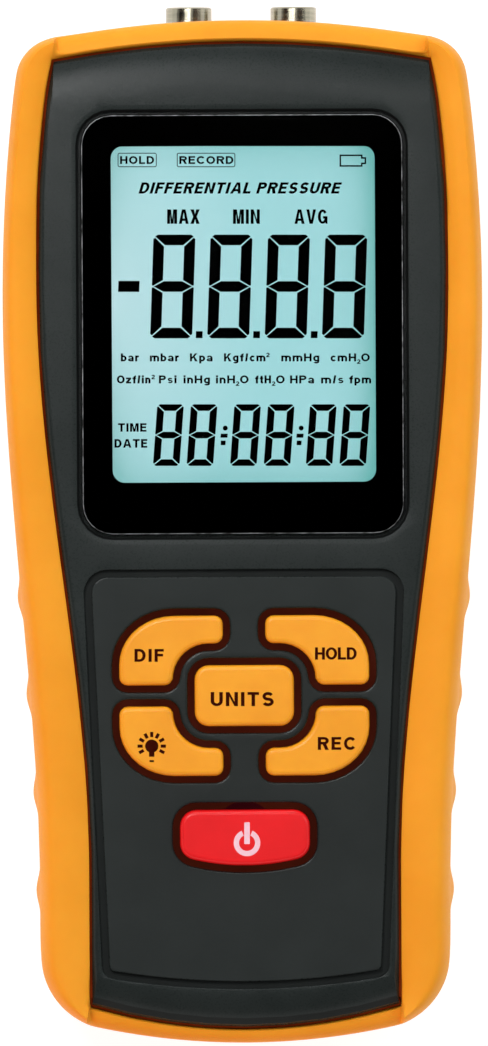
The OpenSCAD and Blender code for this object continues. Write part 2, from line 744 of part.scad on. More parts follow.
// Places between the crest and the lip's edge, and how much of the fall each has reached
lip_place_shares = [0.5, 0.9];
lip_fall_shares = [0.25, 1];
holster_rings = concat(
    [at_z(holster_loop(back_ring_w), 0)],
    [for (a = back_angles) at_z(holster_loop(back_r * (1 - sin(a))), back_r * (1 - cos(a)))],
    [for (k = [0 : len(rib_ring_shares) - 1])
        let (z = lerp(back_r, case_h - side_roll_h, rib_ring_shares[k]))
        [for (i = [0 : holster_last])
            [holster_outer[i][0] + bulge(i) * rib_rise_shares[k], holster_outer[i][1], z]]],
    [for (a = roll_angles) roll_ring(a)],
    [for (k = [0 : len(lip_place_shares) - 1]) lip_ring(lip_place_shares[k], lip_fall * lip_fall_shares[k])],
    [lip_ring(1, lip_fall + lip_edge)],
    [[for (i = [0 : holster_last]) [holster_window[i][0], holster_window[i][1], lip_under_z(i)]]],
    [let (inner = holster_loop(holster_t))
        [for (i = [0 : holster_last]) [inner[i][0], inner[i][1], lip_under_z(i)]]],
    [for (a = [90, 45, 0])
        at_z(holster_loop(lerp(back_r, holster_t, sin(a))), lerp(back_r, back_ring_t, cos(a)))],
    [at_z(holster_loop(back_ring_w), back_ring_t)]
);

usb_y = end_y - usb_from_top;
usb_mid_z = board_back_z - usb_h / 2;

module holster() {
    color(orange) placed() difference() {
        skin([for (r = holster_rings) both_sides(r)], closed = true);
        // Slot for the two ports
        translate([0, end_y - body_d - cut, port_z]) rotate([-90, 0, 0]) linear_extrude(body_d + 2 * cut)
            polygon(rounded(port_slot_w, port_slot_h, port_slot_h / 2));
        // Opening for the inlet
        translate([side_x(usb_y) - body_d - cut, usb_y, usb_mid_z]) rotate([90, 0, 90])
            linear_extrude(body_d + 2 * cut)
            polygon(rounded(usb_w + 2 * usb_access, usb_h + 2 * usb_access, usb_access));
    }
}

// Front shell

shell_last = len(shell_outer) - 1;
function shoulder_z(i) =
    case_h - lip_drop - case_fit
    - end_share(shell_outer, shell_counts, i, crease_l) * band_fall(shell_outer[i][1]);
function edge_h(i) = lerp(side_edge_h, end_edge_h, end_share(shell_outer, shell_counts, i, roll_reach));
shell_body = shell_half(body_d);
face_foot = shell_window(lip_gap, lip_gap, lip_gap);
function face_ring(a) =
    let (
        s = 1 - cos(a),
        loop = shell_window(lip_gap + side_edge_w * s, lip_gap + top_roll_w * s, lip_gap + bottom_roll_w * s)
    )
    [for (i = [0 : shell_last]) [loop[i][0], loop[i][1], face_z - edge_h(i) * (1 - sin(a))]];
front_rings = concat(
    [at_z(shell_body, parting_z)],
    [[for (i = [0 : shell_last]) [shell_body[i][0], shell_body[i][1], shoulder_z(i) - shoulder_r_h]]],
    [[for (i = [0 : shell_last])
        let (p = lerp(shell_body[i], face_foot[i], shoulder_share)) [p[0], p[1], shoulder_z(i)]]],
    [[for (i = [0 : shell_last]) [face_foot[i][0], face_foot[i][1], shoulder_z(i)]]],
    [for (a = roll_angles) face_ring(a)]
);

lens_y = end_y - lens_from_top - lens_l / 2;
lens_top_z = face_z - lens_sink;
lens_z = lens_top_z - lens_t;
tape_z = lens_z - tape_t;
ledge_z = tape_z - ledge_t;
view_y = end_y - lens_from_top - view_from_lens_top - view_l / 2;
glass_w = view_w + 2 * glass_margin;
glass_l = view_l + 2 * glass_margin;
glass_top_z = ledge_z - hair;
glass_z = glass_top_z - glass_t;

keys_y = keys_from_bottom - end_y;
power_top_y = power_top - end_y;
power_y = power_top_y - power_h / 2;
power_bow_y = power_top_y - power_h - power_bow;
key_top_z = face_z + key_stand;
mat_top_z = board_top_z + mat_t;
key_base_z = mat_top_z + dome_h;

// Outlines of the keys, drawn in by e (a negative e gives the opening round the key)

// Rounded corner of radius r at the corner point, drawn in by e; sx and sy point inwards
function small_corner(x, y, sx, sy, from, to, r, e) =
    let (rr = max(r - e, hair)) arc([x + sx * (e + rr), y + sy * (e + rr)], rr, rr, from, to, small_steps);

// Corner key of the upper right: its outer chain and its inner chain, end to end
function corner_key(e) =
    let (
        x0 = column_w / 2,
        y0 = row_w / 2,
        nose = [units_w / 2 - units_r, units_h / 2 - units_r],
        hollow_r = units_r + key_spacing,
        r = small_corner_r
    )
    concat(
        small_corner(x0, corner_key_y, 1, -1, 2 * up, up, r, e),
        arc([corner_key_x - big_corner_w, corner_key_y - big_corner_h],
            big_corner_w - e, big_corner_h - e, up, 0, wide_steps),
        small_corner(corner_key_x, y0, -1, 1, 0, down, r, e),
        small_corner(nose[0] + hollow_r, y0, 1, 1, 3 * up, 2 * up, r, e),
        arc(nose, hollow_r + e, hollow_r + e, 0, up, wide_steps),
        small_corner(x0, nose[1] + hollow_r, 1, 1, 3 * up, 2 * up, r, e)
    );
function units_key(e) = rounded(units_w - 2 * e, units_h - 2 * e, units_r - e);

// Power key about the middle of its sides: straight top, bowed lower side
function power_key(e) =
    let (
        x = power_w / 2 - power_r,
        bow_r = (pow(power_w / 2, 2) + power_bow * power_bow) / (2 * power_bow),
        bow_y = bow_r - power_h / 2 - power_bow,
        low_y = bow_y - sqrt(pow(bow_r - power_r, 2) - x * x),
        tilt = atan2(x, bow_y - low_y)
    )
    both_halves(concat(
        arc([0, bow_y], bow_r - e, bow_r - e, down, tilt + down, corner_steps),
        tail(arc([x, low_y], power_r - e, power_r - e, tilt + down, 0, corner_steps)),
        arc([x, power_h / 2 - power_r], power_r - e, power_r - e, 0, up, corner_steps)
    ));

edge_angles = [0, 30, 60, 90];
// Cap and plug of a key: rings of the given outline from its base to its rounded edge
module key_solid(loops, k) {
    skin(concat([at_z(loops[0], key_base_z)],
                [for (i = [0 : len(edge_angles) - 1])
                    at_z(loops[i], key_top_z - key_edge_r * (1 - sin(edge_angles[i])))]), k);
}
function key_inset(i) = key_edge_r * (1 - cos(edge_angles[i]));
// Plunger under a key, which ends in the carbon pill
plunger_r = dome_top_r - dome_land - fit;
pill_z = board_top_z + key_travel + hair;
pill_top_z = pill_z + pill_t;
module plunger(place) {
    placed() translate(place) rod(plunger_r, pill_top_z, key_base_z + hair);
}

// The four corner keys are mirror images; sx and sy give the quadrant
module quadrant(sx, sy) {
    translate([0, keys_y, 0]) mirror([sx < 0 ? 1 : 0, 0, 0]) mirror([0, sy < 0 ? 1 : 0, 0]) children();
}
module corner_key_solid(sx, sy) {
    color(orange) {
        placed() quadrant(sx, sy)
            key_solid([for (i = [0 : len(edge_angles) - 1]) reversed(corner_key(key_inset(i)))], -1);
        plunger(corner_place(sx, sy));
    }
}
function corner_place(sx, sy) = [sx * corner_dome[0], keys_y + sy * corner_dome[1]];

// Middle of the collar under a corner key
corner_dome = [
    (corner_key_x + units_w / 2 + key_spacing) / 2 - dome_land,
    (row_w / 2 + corner_key_y) / 2 - dome_land
];

// Outline of the keypad's groove, drawn in by e
function panel_loop(e) =
    let (
        top_y = panel_top - end_y,
        lean = atan2((panel_top_w - panel_bottom_w) / 2, panel_top - panel_bottom),
        up_x = panel_top_w / 2 - panel_top_r,
        low_x = panel_bottom_w / 2 - panel_bottom_r,
        bow_r = (pow(panel_bottom_w / 2, 2) + panel_bow * panel_bow) / (2 * panel_bow),
        bow_y = bow_r + panel_bottom - end_y - panel_bow,
        low_y = bow_y - sqrt(pow(bow_r - panel_bottom_r, 2) - low_x * low_x),
        tilt = atan2(low_x, bow_y - low_y)
    )
    both_sides(concat(
        arc([0, bow_y], bow_r - e, bow_r - e, down, tilt + down, corner_steps),
        tail(arc([low_x, low_y], panel_bottom_r - e, panel_bottom_r - e, tilt + down, -lean, corner_steps)),
        arc([up_x, top_y - panel_top_r], panel_top_r - e, panel_top_r - e, -lean, up, corner_steps),
        [[0, top_y - e]]
    ));

case_screw_places = [[upper_screw_x, end_y - upper_screw_y], [lower_screw_x, lower_screw_y - end_y]];
board_screw_places = [
    [board_screw_up_x, end_y - board_screw_up_y],
    [board_screw_low_x, board_screw_low_y - end_y]
];
case_head_z = back_z + case_head_t + shell_t / 2;
case_screw_top_z = case_head_z + case_screw_l;
board_screw_top_z = board_back_z + board_screw_l;

mat_posts = [
    [0, keys_y + corner_key_y - post_r],
    [0, keys_y - corner_key_y - post_r / 2],
    [post_x, power_y],
    [-post_x, power_y]
];
board_inner_x = grip_w / 2 - body_d - shell_t;

port_x = port_spacing / 2;
// The ports' seat is flat: the end wall is faced off here
seat_y = end_y - body_d - sagitta(top_r, port_x + port_collar_r + hair) - hair;
pad_y = seat_y - port_wall_t;
port_tip_y = end_y + port_stand;

// Opening through the face whose upper edge is rounded: loops from the clear opening outwards
rim_angles = [0, 45, 90];
module rim_cut(loops, h, k) {
    last = len(rim_angles) - 1;
    skin(concat(
        [for (i = [0 : last]) at_z(loops[i], face_z - h * (1 - sin(rim_angles[i])))],
        [at_z(loops[last], face_z + cut)]
    ), k);
}
module key_opening(loops, k) {
    translate([0, 0, face_under_z - cut]) linear_extrude(shell_t + 2 * cut) polygon(loops[0]);
    rim_cut(loops, key_rim, k);
}
rims = [for (a = rim_angles) key_gap + key_rim * (1 - cos(a))];

shoulder_low_z = case_h - max(top_band_fall, bottom_band_fall) - lip_drop - case_fit - shell_t;
module front_cavity() {
    difference() {
        union() {
            shell_prism(body_d + shell_t, parting_z - cut, shoulder_low_z);
            translate([0, 0, parting_z]) linear_extrude(face_under_z - parting_z)
                polygon(both_sides(shell_window(lip_gap + shell_t, top_roll_w, bottom_roll_w)));
        }
        // Floor of the display recess
        translate([0, lens_y, 0])
            plate(lens_w + 2 * shell_t, lens_l + 2 * shell_t, lens_r, ledge_z, face_z);
        // Pad inside the end wall, which the nuts bear on
        block([-port_x - port_collar_r - shell_t, port_x + port_collar_r + shell_t], [pad_y, end_y],
              [parting_z - cut, port_z + port_collar_r + shell_t / 2]);
    }
}
module front_shell() {
    color(dark_grey) placed() difference() {
        union() {
            difference() {
                skin([for (r = front_rings) both_sides(r)]);
                front_cavity();
            }
            // Bosses for the screws
            left_and_right() {
                for (p = case_screw_places) translate(p) rod(boss_r, parting_z, face_under_z + hair);
                for (p = board_screw_places) translate(p) rod(board_boss_r, board_top_z, face_under_z + hair);
            }
            // Posts that hold the rubber sheet down
            for (p = mat_posts) translate(p) rod(post_r, mat_top_z + hair, face_under_z + hair);
        }
        // Rebate for the seam
        difference() {
            shell_prism(body_d + shell_t / 2, parting_z - cut, parting_z + seam_h + hair);
            left_and_right() for (p = case_screw_places)
                translate(p) rod(boss_r, 0, parting_z + seam_h + cut);
            shell_prism(body_d + shell_t + fit, parting_z - 2 * cut, parting_z + seam_h + cut);
        }
        left_and_right() {
            for (p = case_screw_places) translate(p)
                rod(case_screw_r + hair / 2, parting_z - cut, case_screw_top_z + cut);
            for (p = board_screw_places) translate(p)
                rod(board_screw_r + hair / 2, board_top_z - cut, board_screw_top_z + cut);
            // Flat seat and hole of a port
            translate([port_x, seat_y, port_z]) rotate([-90, 0, 0]) {
                rod(port_collar_r + 2 * hair, 0, body_d + 2 * cut);
                rod(port_thread_r + hair / 2, pad_y - seat_y - cut, cut);
            }
        }
        // Display recess and the hole under it
        translate([0, lens_y, 0]) {
            plate(lens_w + 2 * lens_gap, lens_l + 2 * lens_gap, lens_r + lens_gap, tape_z, face_z + cut);
            rim_cut([for (a = rim_angles)
                let (e = lens_gap + recess_edge_w * (1 - cos(a)))
                rounded(lens_w + 2 * e, lens_l + 2 * e, lens_r + e)],
                lens_sink, -1);
        }
        translate([0, view_y, 0])
            plate(view_w + glass_margin / 2, view_l + glass_margin / 2, view_r, ledge_z - cut, face_z);
        // Groove round the keypad panel
        translate([0, 0, face_z - groove_d]) linear_extrude(groove_d + cut) difference() {
            polygon(panel_loop(0));
            polygon(panel_loop(groove_w));
        }
        for (sx = [-1, 1], sy = [-1, 1]) quadrant(sx, sy)
            key_opening([for (e = rims) reversed(corner_key(-e))], -1);
        translate([0, keys_y, 0]) key_opening([for (e = rims) units_key(-e)], -1);
        translate([0, power_y, 0]) key_opening([for (e = rims) power_key(-e)], 0);
        // Opening for the inlet
        translate([0, usb_y, usb_mid_z])
            block([side_x(usb_y) - body_d - shell_t - cut, side_x(usb_y)],
                  [-usb_w / 2 - usb_gap, usb_w / 2 + usb_gap],
                  [-usb_h / 2 - usb_gap, usb_h / 2 + usb_gap]);
    }
}

// Rear shell

panel_d = back_ring_w + fit;
panel_z = panel_lift;
door_top_z = panel_z + door_t;
bay_x = battery_w / 2 + battery_fit;
bay_y = bay_from_bottom - end_y;
battery_y = bay_y + battery_play;
battery_end_y = battery_y + battery_l;
snap_y = battery_end_y + hair;
snap_end_y = snap_y + snap_t;
bay_end_y = snap_end_y + lead_room;
battery_z = door_top_z + foam_t + hair;
battery_t = board_back_z - bay_from_board - bay_t - battery_fit - battery_z;
battery_mid_z = battery_z + battery_t / 2;
bay_top_z = battery_z + battery_t + battery_fit;
door_x = bay_x + door_lap;
door_y = bay_y - door_lap;
door_end_y = bay_end_y + door_lap;
tab_z = panel_z + shell_t + fit;
tab_room_z = panel_z + fit + norm([tab_reach, tab_z - panel_z + tab_t]);
lead_x = terminal_spacing / 4;
lead_y = snap_end_y + lead_room - lead_bend_r / 2 - lead_r;
rear_rings = concat(
    [for (a = back_angles)
        at_z(shell_half(lerp(back_r, body_d, sin(a))), lerp(back_r, back_z, cos(a)))],
    [at_z(shell_body, parting_z)]
);

module rear_shell() {
    color(dark_grey) placed() difference() {
        union() {
            difference() {
                union() {
                    skin([for (r = rear_rings) both_sides(r)]);
                    shell_prism(panel_d, panel_z, back_z + hair);
                }
                shell_prism(body_d + shell_t, back_z + shell_t, parting_z + cut);
                shell_prism(panel_d + shell_t, panel_z + shell_t, back_z + shell_t + cut);
            }
            // Lip that enters the front shell
            difference() {
                shell_prism(body_d + shell_t / 2 + fit, parting_z - seam_h, parting_z + seam_h);
                shell_prism(body_d + shell_t, parting_z - seam_h - cut, parting_z + seam_h + cut);
                left_and_right() for (p = case_screw_places) translate(p)
                    rod(boss_r + fit, parting_z, parting_z + seam_h + cut);
            }
            // Walls of the battery bay and the frame that the door rests on
            block([-bay_x - bay_t, bay_x + bay_t], [bay_y - bay_t, bay_end_y + bay_t],
                  [panel_z + shell_t / 2, bay_top_z + bay_t]);
            block([-door_x - shell_t, door_x + shell_t], [door_y - shell_t, door_end_y + shell_t],
                  [panel_z + shell_t / 2, door_top_z + shell_t]);
            left_and_right() for (p = case_screw_places) translate(p)
                rod(boss_r, back_z + shell_t - hair, parting_z);
        }
        block([-bay_x, bay_x], [bay_y, bay_end_y], [panel_z - cut, bay_top_z]);
        translate([0, (door_y + door_end_y) / 2, 0])
            plate(2 * (door_x + fit), door_end_y - door_y + 2 * fit, door_r + fit,
                  panel_z - cut, door_top_z + hair);
        // Slots for the door's tabs
        left_and_right() translate([tab_spacing / 2, 0, 0])
            block([-tab_w / 2 - fit, tab_w / 2 + fit], [door_y - tab_reach - fit, bay_y + hair],
                  [door_top_z, tab_room_z]);
        // Way for the leads through the ceiling of the bay
        block([-lead_x - 2 * lead_r, lead_x + 2 * lead_r], [lead_y - 2 * lead_r, bay_end_y],
              [bay_top_z - cut, bay_top_z + bay_t + cut]);
        // Scoop for a fingernail
        translate([-scoop_w / 2, door_end_y + fit, panel_z + scoop_d - scoop_r]) rotate([0, 90, 0])
            rod(scoop_r, 0, scoop_w);
        left_and_right() for (p = case_screw_places) translate(p) {
            rod(case_head_r + fit, -cut, case_head_z);
            rod(case_screw_r + hair, 0, parting_z + cut);
        }
    }
}
// Display

module lens_window() {
    inset = lens_gap / 2;
    color("#9FB4BC", 0.35) placed() translate([0, lens_y, 0]) skin([
        at_z(rounded(lens_w, lens_l, lens_r), lens_z),
        at_z(rounded(lens_w, lens_l, lens_r), lens_top_z - inset),
        at_z(rounded(lens_w - 2 * inset, lens_l - 2 * inset, lens_r - inset), lens_top_z)
    ], -1);
}

module lens_tape() {
    color(black) placed() difference() {
        translate([0, lens_y, 0]) plate(lens_w - lens_gap, lens_l - lens_gap, lens_r, tape_z, lens_z);
        translate([0, view_y, 0]) plate(view_w, view_l, view_r, tape_z - cut, lens_z + cut);
    }
}

module lcd_glass() {
    color("#9AD3D0") placed() translate([0, view_y, 0])
        block([-glass_w / 2, glass_w / 2], [-glass_l / 2, glass_l / 2], [glass_z, glass_top_z]);
}

module lcd_bezel() {
    out_w = glass_w + 2 * bezel_t;
    out_l = glass_l + 2 * bezel_t;
    color(black) placed() translate([0, view_y, 0]) difference() {
        block([-out_w / 2, out_w / 2], [-out_l / 2, out_l / 2], [board_top_z, glass_top_z]);
        block([-glass_w / 2 - hair, glass_w / 2 + hair], [-glass_l / 2 - hair, glass_l / 2 + hair],
              [board_top_z - cut, glass_top_z + cut]);
    }
}

module backlight() {
    x = view_w / 2 + glass_margin / 2;
    y = glass_l / 2 - zebra_w - 2 * hair;
    color("#E8EFF0") placed() translate([0, view_y, 0]) block([-x, x], [-y, y], [board_top_z, glass_z]);
}

module zebra_strips() {
    x = view_w / 2;
    y = glass_l / 2;
    color("#C9C4BC") placed() translate([0, view_y, 0]) for (s = [-1, 1])
        translate([0, s * (y - zebra_w / 2), 0])
            block([-x, x], [-zebra_w / 2, zebra_w / 2], [board_top_z, glass_z]);
}

// Board

board_y = board_from_bottom - end_y;
board_end_y = end_y - board_from_top;

module pcb() {
    color("#1F6B3A") placed() difference() {
        intersection() {
            shell_prism(body_d + shell_t + board_fit, board_back_z, board_top_z);
            union() {
                block([-head_w, head_w], [board_y, end_y - board_shoulder], [0, board_top_z + cut]);
                block([-board_tongue_w / 2, board_tongue_w / 2], [0, board_end_y], [0, board_top_z + cut]);
            }
        }
        left_and_right() for (p = board_screw_places) translate(p)
            rod(board_screw_r + hair, board_back_z - cut, board_top_z + cut);
    }
}

// Places of the parts on the back of the board, as shares of its half width and of its length
processor_share = [0, 0.22];
chip_place_shares = [[-0.55, 0.54], [0.42, 0.66], [0.48, 0.5]];
crystal_share = [-0.5, 0.63];
capacitor_share = [-0.6, 0.74];
function board_place(share) = [share[0] * board_inner_x, lerp(board_y, board_end_y, share[1])];
module chip(share, w, l) {
    translate(board_place(share))
        block([-w / 2, w / 2], [-l / 2, l / 2], [board_back_z - chip_t, board_back_z]);
}
module pcb_components() {
    color("#26282A") placed() {
        chip(processor_share, processor_w, processor_w);
        for (p = chip_place_shares) chip(p, chip_l, chip_w);
        chip(crystal_share, crystal_l, crystal_w);
        translate(board_place(capacitor_share)) rod(capacitor_r, board_back_z - capacitor_h, board_back_z);
    }
}

// Keypad

module dome_places() {
    for (sx = [-1, 1], sy = [-1, 1])
        translate([sx * corner_dome[0], keys_y + sy * corner_dome[1], 0]) children();
    translate([0, keys_y, 0]) children();
    translate([0, power_y, 0]) children();
}
module keypad_mat() {
    x = corner_key_x + mat_margin;
    low = power_bow_y - mat_margin;
    high = keys_y + corner_key_y + mat_margin;
    color("#E8902A") placed() difference() {
        translate([0, (low + high) / 2, 0]) plate(2 * x, high - low, mat_margin, board_top_z, mat_top_z);
        dome_places() rod(dome_foot_r - dome_land, board_top_z - cut, mat_top_z + cut);
    }
}
module dome(place, tint) {
    color(tint) placed() translate([place[0], place[1], mat_top_z]) rotate_extrude($fn = facets) polygon([
        [dome_foot_r - dome_land, 0],
        [dome_foot_r, 0],
        [dome_top_r, dome_h],
        [dome_top_r - dome_land, dome_h]
    ]);
}
module pill(place) {
    color("#1B1B1B") placed() translate(place) rod(pill_r, pill_z, pill_top_z);
}
units_place = [0, keys_y];
power_place = [0, power_y];
red = "#E0242C";

module key_dif() { corner_key_solid(-1, 1); }
module key_hold() { corner_key_solid(1, 1); }
module key_light() { corner_key_solid(-1, -1); }
module key_rec() { corner_key_solid(1, -1); }
module key_units() {
    color(orange) {
        placed() translate([0, keys_y, 0])
            key_solid([for (i = [0 : len(edge_angles) - 1]) units_key(key_inset(i))], -1);
        plunger(units_place);
    }
}
module key_power() {
    color(red) {
        placed() translate([0, power_y, 0])
            key_solid([for (i = [0 : len(edge_angles) - 1]) power_key(key_inset(i))], 0);
        plunger(power_place);
    }
}
module dome_dif() { dome(corner_place(-1, 1), orange); }
module dome_hold() { dome(corner_place(1, 1), orange); }
module dome_light() { dome(corner_place(-1, -1), orange); }
module dome_rec() { dome(corner_place(1, -1), orange); }
module dome_units() { dome(units_place, orange); }
module dome_power() { dome(power_place, red); }
module pill_dif() { pill(corner_place(-1, 1)); }
module pill_hold() { pill(corner_place(1, 1)); }
module pill_light() { pill(corner_place(-1, -1)); }
module pill_rec() { pill(corner_place(1, -1)); }
module pill_units() { pill(units_place); }
module pill_power() { pill(power_place); }

// Ports, sensor and tubes

thread_l = port_wall_t + nut_t + thread_spare;
// Stands a turned piece on the seat of a port, with its axis along +Y
module at_port(side, y) {
    translate([side * port_x, y, port_z]) rotate([-90, 0, 0]) children();
}
module port(side) {
    tip = port_tip_y - seat_y;
    c = port_chamfer;
    color("#C9CCD0") placed() at_port(side, seat_y) rotate_extrude($fn = 2 * facets) polygon([
        [port_bore_r, -thread_l - barb_l],
        [barb_r - c / 2, -thread_l - barb_l],
        [barb_r, -thread_l - barb_l + c],
        [barb_r, -thread_l],
        [port_thread_r, -thread_l],
        [port_thread_r, seal_t],
        [port_collar_r, seal_t],
        [port_collar_r, seal_t + port_collar_t],
        [port_r, seal_t + port_collar_t],
        [port_r, tip - c],
        [port_r - c, tip],
        [port_bore_r + c, tip],
        [port_bore_r, tip - c]
    ]);
}
module port_high() { port(-1); }
module port_low() { port(1); }

module port_nuts() {
    color("#D2B25A") placed() for (side = [-1, 1]) at_port(side, pad_y - nut_t) difference() {
        cylinder(r = nut_w / 2 / cos(30), h = nut_t, $fn = 6);
        rod(port_thread_r + hair / 2, -cut, nut_t + cut);
    }
}
module port_seals() {
    color("#1C1C1E") placed() for (side = [-1, 1]) at_port(side, seat_y) difference() {
        rod(port_collar_r - port_chamfer, 0, seal_t);
        rod(port_thread_r + hair / 2, -cut, seal_t + cut);
    }
}

tube_end_y = seat_y - thread_l;
tube_shift = (port_spacing - nozzle_spacing) / 2;
tube_turn = acos(1 - tube_shift / (2 * tube_bend_r));
tube_bend_l = 2 * tube_bend_r * sin(tube_turn);
sensor_end_y = tube_end_y - 2 * barb_l - tube_bend_l;
tube_bore_r = barb_r + hair + hair / 2;
tube_sides = 12;
tube_steps = 4;
tube_low_y = sensor_end_y + barb_l;
tube_high_y = tube_low_y + tube_bend_l;
// Way of the right tube: places and headings, as angles from +Y towards +X
tube_way = concat(
    [[nozzle_spacing / 2, sensor_end_y, 0]],
    [for (i = [0 : tube_steps])
        let (a = tube_turn * i / tube_steps)
        [nozzle_spacing / 2 + tube_bend_r * (1 - cos(a)), tube_low_y + tube_bend_r * sin(a), a]],
    [for (i = [tube_steps - 1 : -1 : 0])
        let (a = tube_turn * i / tube_steps)
        [port_x - tube_bend_r * (1 - cos(a)), tube_high_y - tube_bend_r * sin(a), a]],
    [[port_x, tube_end_y, 0]]
);
function tube_ring(p, r) =
    [for (i = [0 : tube_sides - 1])
        let (a = 360 * i / tube_sides)
        [p[0] - r * cos(a) * cos(p[2]), p[1] + r * cos(a) * sin(p[2]), port_z + r * sin(a)]];
module tube_low() {
    color("#D9D6CC") placed() skin(concat(
        [for (p = tube_way) tube_ring(p, tube_bore_r + tube_t)],
        [for (p = reversed(tube_way)) tube_ring(p, tube_bore_r)]
    ), closed = true);
}
module tube_high() {
    mirror([1, 0, 0]) tube_low();
}

module pressure_sensor() {
    top_z = board_back_z - leg_l;
    leg_pitch = sensor_l / 4;
    color("#2B2C2E") placed() {
        block([-sensor_w / 2, sensor_w / 2], [sensor_end_y - sensor_l, sensor_end_y],
              [port_z - sensor_drop, top_z]);
        left_and_right() {
            translate([nozzle_spacing / 2, sensor_end_y - cut, port_z]) rotate([-90, 0, 0]) difference() {
                rod(barb_r, 0, barb_l + cut);
                rod(port_bore_r, cut, barb_l + 2 * cut);
            }
            for (i = [-1 : 1])
                translate([sensor_w / 2 - 2 * leg_r, sensor_end_y - sensor_l / 2 + i * leg_pitch, 0])
                    rod(leg_r, top_z - cut, board_back_z);
        }
    }
}

module usb_socket() {
    mouth_x = side_x(usb_y) - body_d - usb_metal_t;
    inner = [usb_w / 2 - usb_metal_t, usb_h / 2 - usb_metal_t];
    color("#B9BDC1") placed() translate([0, usb_y, usb_mid_z]) {
        difference() {
            block([mouth_x - usb_l, mouth_x], [-usb_w / 2, usb_w / 2], [-usb_h / 2, usb_h / 2]);
            block([mouth_x - usb_l + 2 * usb_tongue_in, mouth_x + cut],
                  [-inner[0], inner[0]], [-inner[1], inner[1]]);
        }
        block([mouth_x - usb_l + usb_tongue_in, mouth_x - usb_tongue_in],
              [-usb_tongue_w / 2, usb_tongue_w / 2], [-usb_tongue_t / 2, usb_tongue_t / 2]);
    }
}

// Battery, its snap and its door

module battery() {
    color("#3B4148") placed() {
        translate([0, battery_y, battery_mid_z]) rotate([-90, 0, 0]) linear_extrude(battery_l)
            polygon(rounded(battery_w, battery_t, battery_r));
        for (side = [-1, 1]) translate([side * terminal_spacing / 2, battery_end_y - cut, battery_mid_z])
            rotate([-90, 0, 0]) rod(terminal_r, 0, terminal_h + cut);
    }
}
module battery_snap() {
    color("#202225") placed() translate([0, snap_y, battery_mid_z]) rotate([-90, 0, 0]) difference() {
        linear_extrude(snap_t)
            polygon(rounded(battery_w - 2 * snap_edge, 2 * terminal_r + 4 * snap_edge, terminal_r));
        for (side = [-1, 1]) translate([side * terminal_spacing / 2, 0, 0])
            rod(terminal_r + hair, -cut, terminal_h);
    }
}
module lead(side, tint) {
    bend_y = lead_y - lead_bend_r;
    color(tint) placed() translate([side * lead_x, 0, 0]) {
        translate([0, snap_end_y, battery_mid_z]) rotate([-90, 0, 0]) rod(lead_r, 0, bend_y - snap_end_y);
        translate([0, bend_y, battery_mid_z + lead_bend_r]) rotate([90, 0, 90]) rotate([0, 0, -90])
            rotate_extrude(angle = 90, $fn = facets)
            translate([lead_bend_r, 0]) circle(lead_r, $fn = facets / 2);
        translate([0, lead_y, 0]) rod(lead_r, battery_mid_z + lead_bend_r, board_back_z);
    }
}
module lead_positive() { lead(-1, "#B3262B"); }
module lead_negative() { lead(1, "#17181A"); }

module battery_door() {
    color(dark_grey) placed() {
        translate([0, (door_y + door_end_y) / 2, 0])
            plate(2 * door_x, door_end_y - door_y, door_r, panel_z, door_top_z);
        left_and_right() translate([tab_spacing / 2, 0, 0]) {
            block([-tab_w / 2, tab_w / 2], [door_y - tab_reach, door_y + tab_t], [tab_z, tab_z + tab_t]);
            block([-tab_w / 2, tab_w / 2], [door_y, door_y + tab_t], [door_top_z - hair, tab_z + hair]);
        }
        for (i = [0 : ridge_count - 1])
            translate([-ridge_l / 2, door_end_y - door_r - i * ridge_pitch, panel_z]) rotate([0, 90, 0])
                rod(ridge_r, 0, ridge_l);
    }
}
module door_foam() {
    x = battery_w / 2 - foam_margin;
    color("#4A4C4E") placed()
        block([-x, x], [battery_y + foam_margin, battery_end_y - foam_margin],
              [door_top_z, door_top_z + foam_t]);
}

// Screws

module case_screws() {
    color("#8E9296") placed() left_and_right() for (p = case_screw_places) translate(p) {
        rod(case_head_r, case_head_z - case_head_t, case_head_z);
        rod(case_screw_r, case_head_z - hair, case_screw_top_z);
    }
}
module pcb_screws() {
    color("#8E9296") placed() left_and_right() for (p = board_screw_places) translate(p) {
        rod(board_head_r, board_back_z - board_head_t, board_back_z);
        rod(board_screw_r, board_back_z - hair, board_screw_top_z);
    }
}

holster();
front_shell();
rear_shell();
lens_window();
lens_tape();
lcd_glass();
lcd_bezel();
backlight();
zebra_strips();
pcb();
pcb_components();
keypad_mat();
key_dif();
key_hold();
key_units();
key_light();
key_rec();
key_power();
dome_dif();
dome_hold();
dome_units();
dome_light();
dome_rec();
dome_power();
pill_dif();
pill_hold();
pill_units();
pill_light();
pill_rec();
pill_power();
port_high();
port_low();
port_nuts();
port_seals();
tube_high();
tube_low();
pressure_sensor();
usb_socket();
battery();
battery_snap();
lead_positive();
lead_negative();
battery_door();
door_foam();
case_screws();
pcb_screws();
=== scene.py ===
"""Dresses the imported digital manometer: its finishes, display artwork, key legends, light and camera.

The CAD frame gives every solid its place. This script refines the solids that show, prints the artwork on
them and sets a plain studio round them. Lengths are in metres, unless a name ends in _mm or _px.
"""

import json
import logging
import math
from dataclasses import dataclass
from enum import Enum
from typing import ClassVar, Iterable, Mapping, Optional, Sequence

import bpy
from mathutils import Matrix, Vector

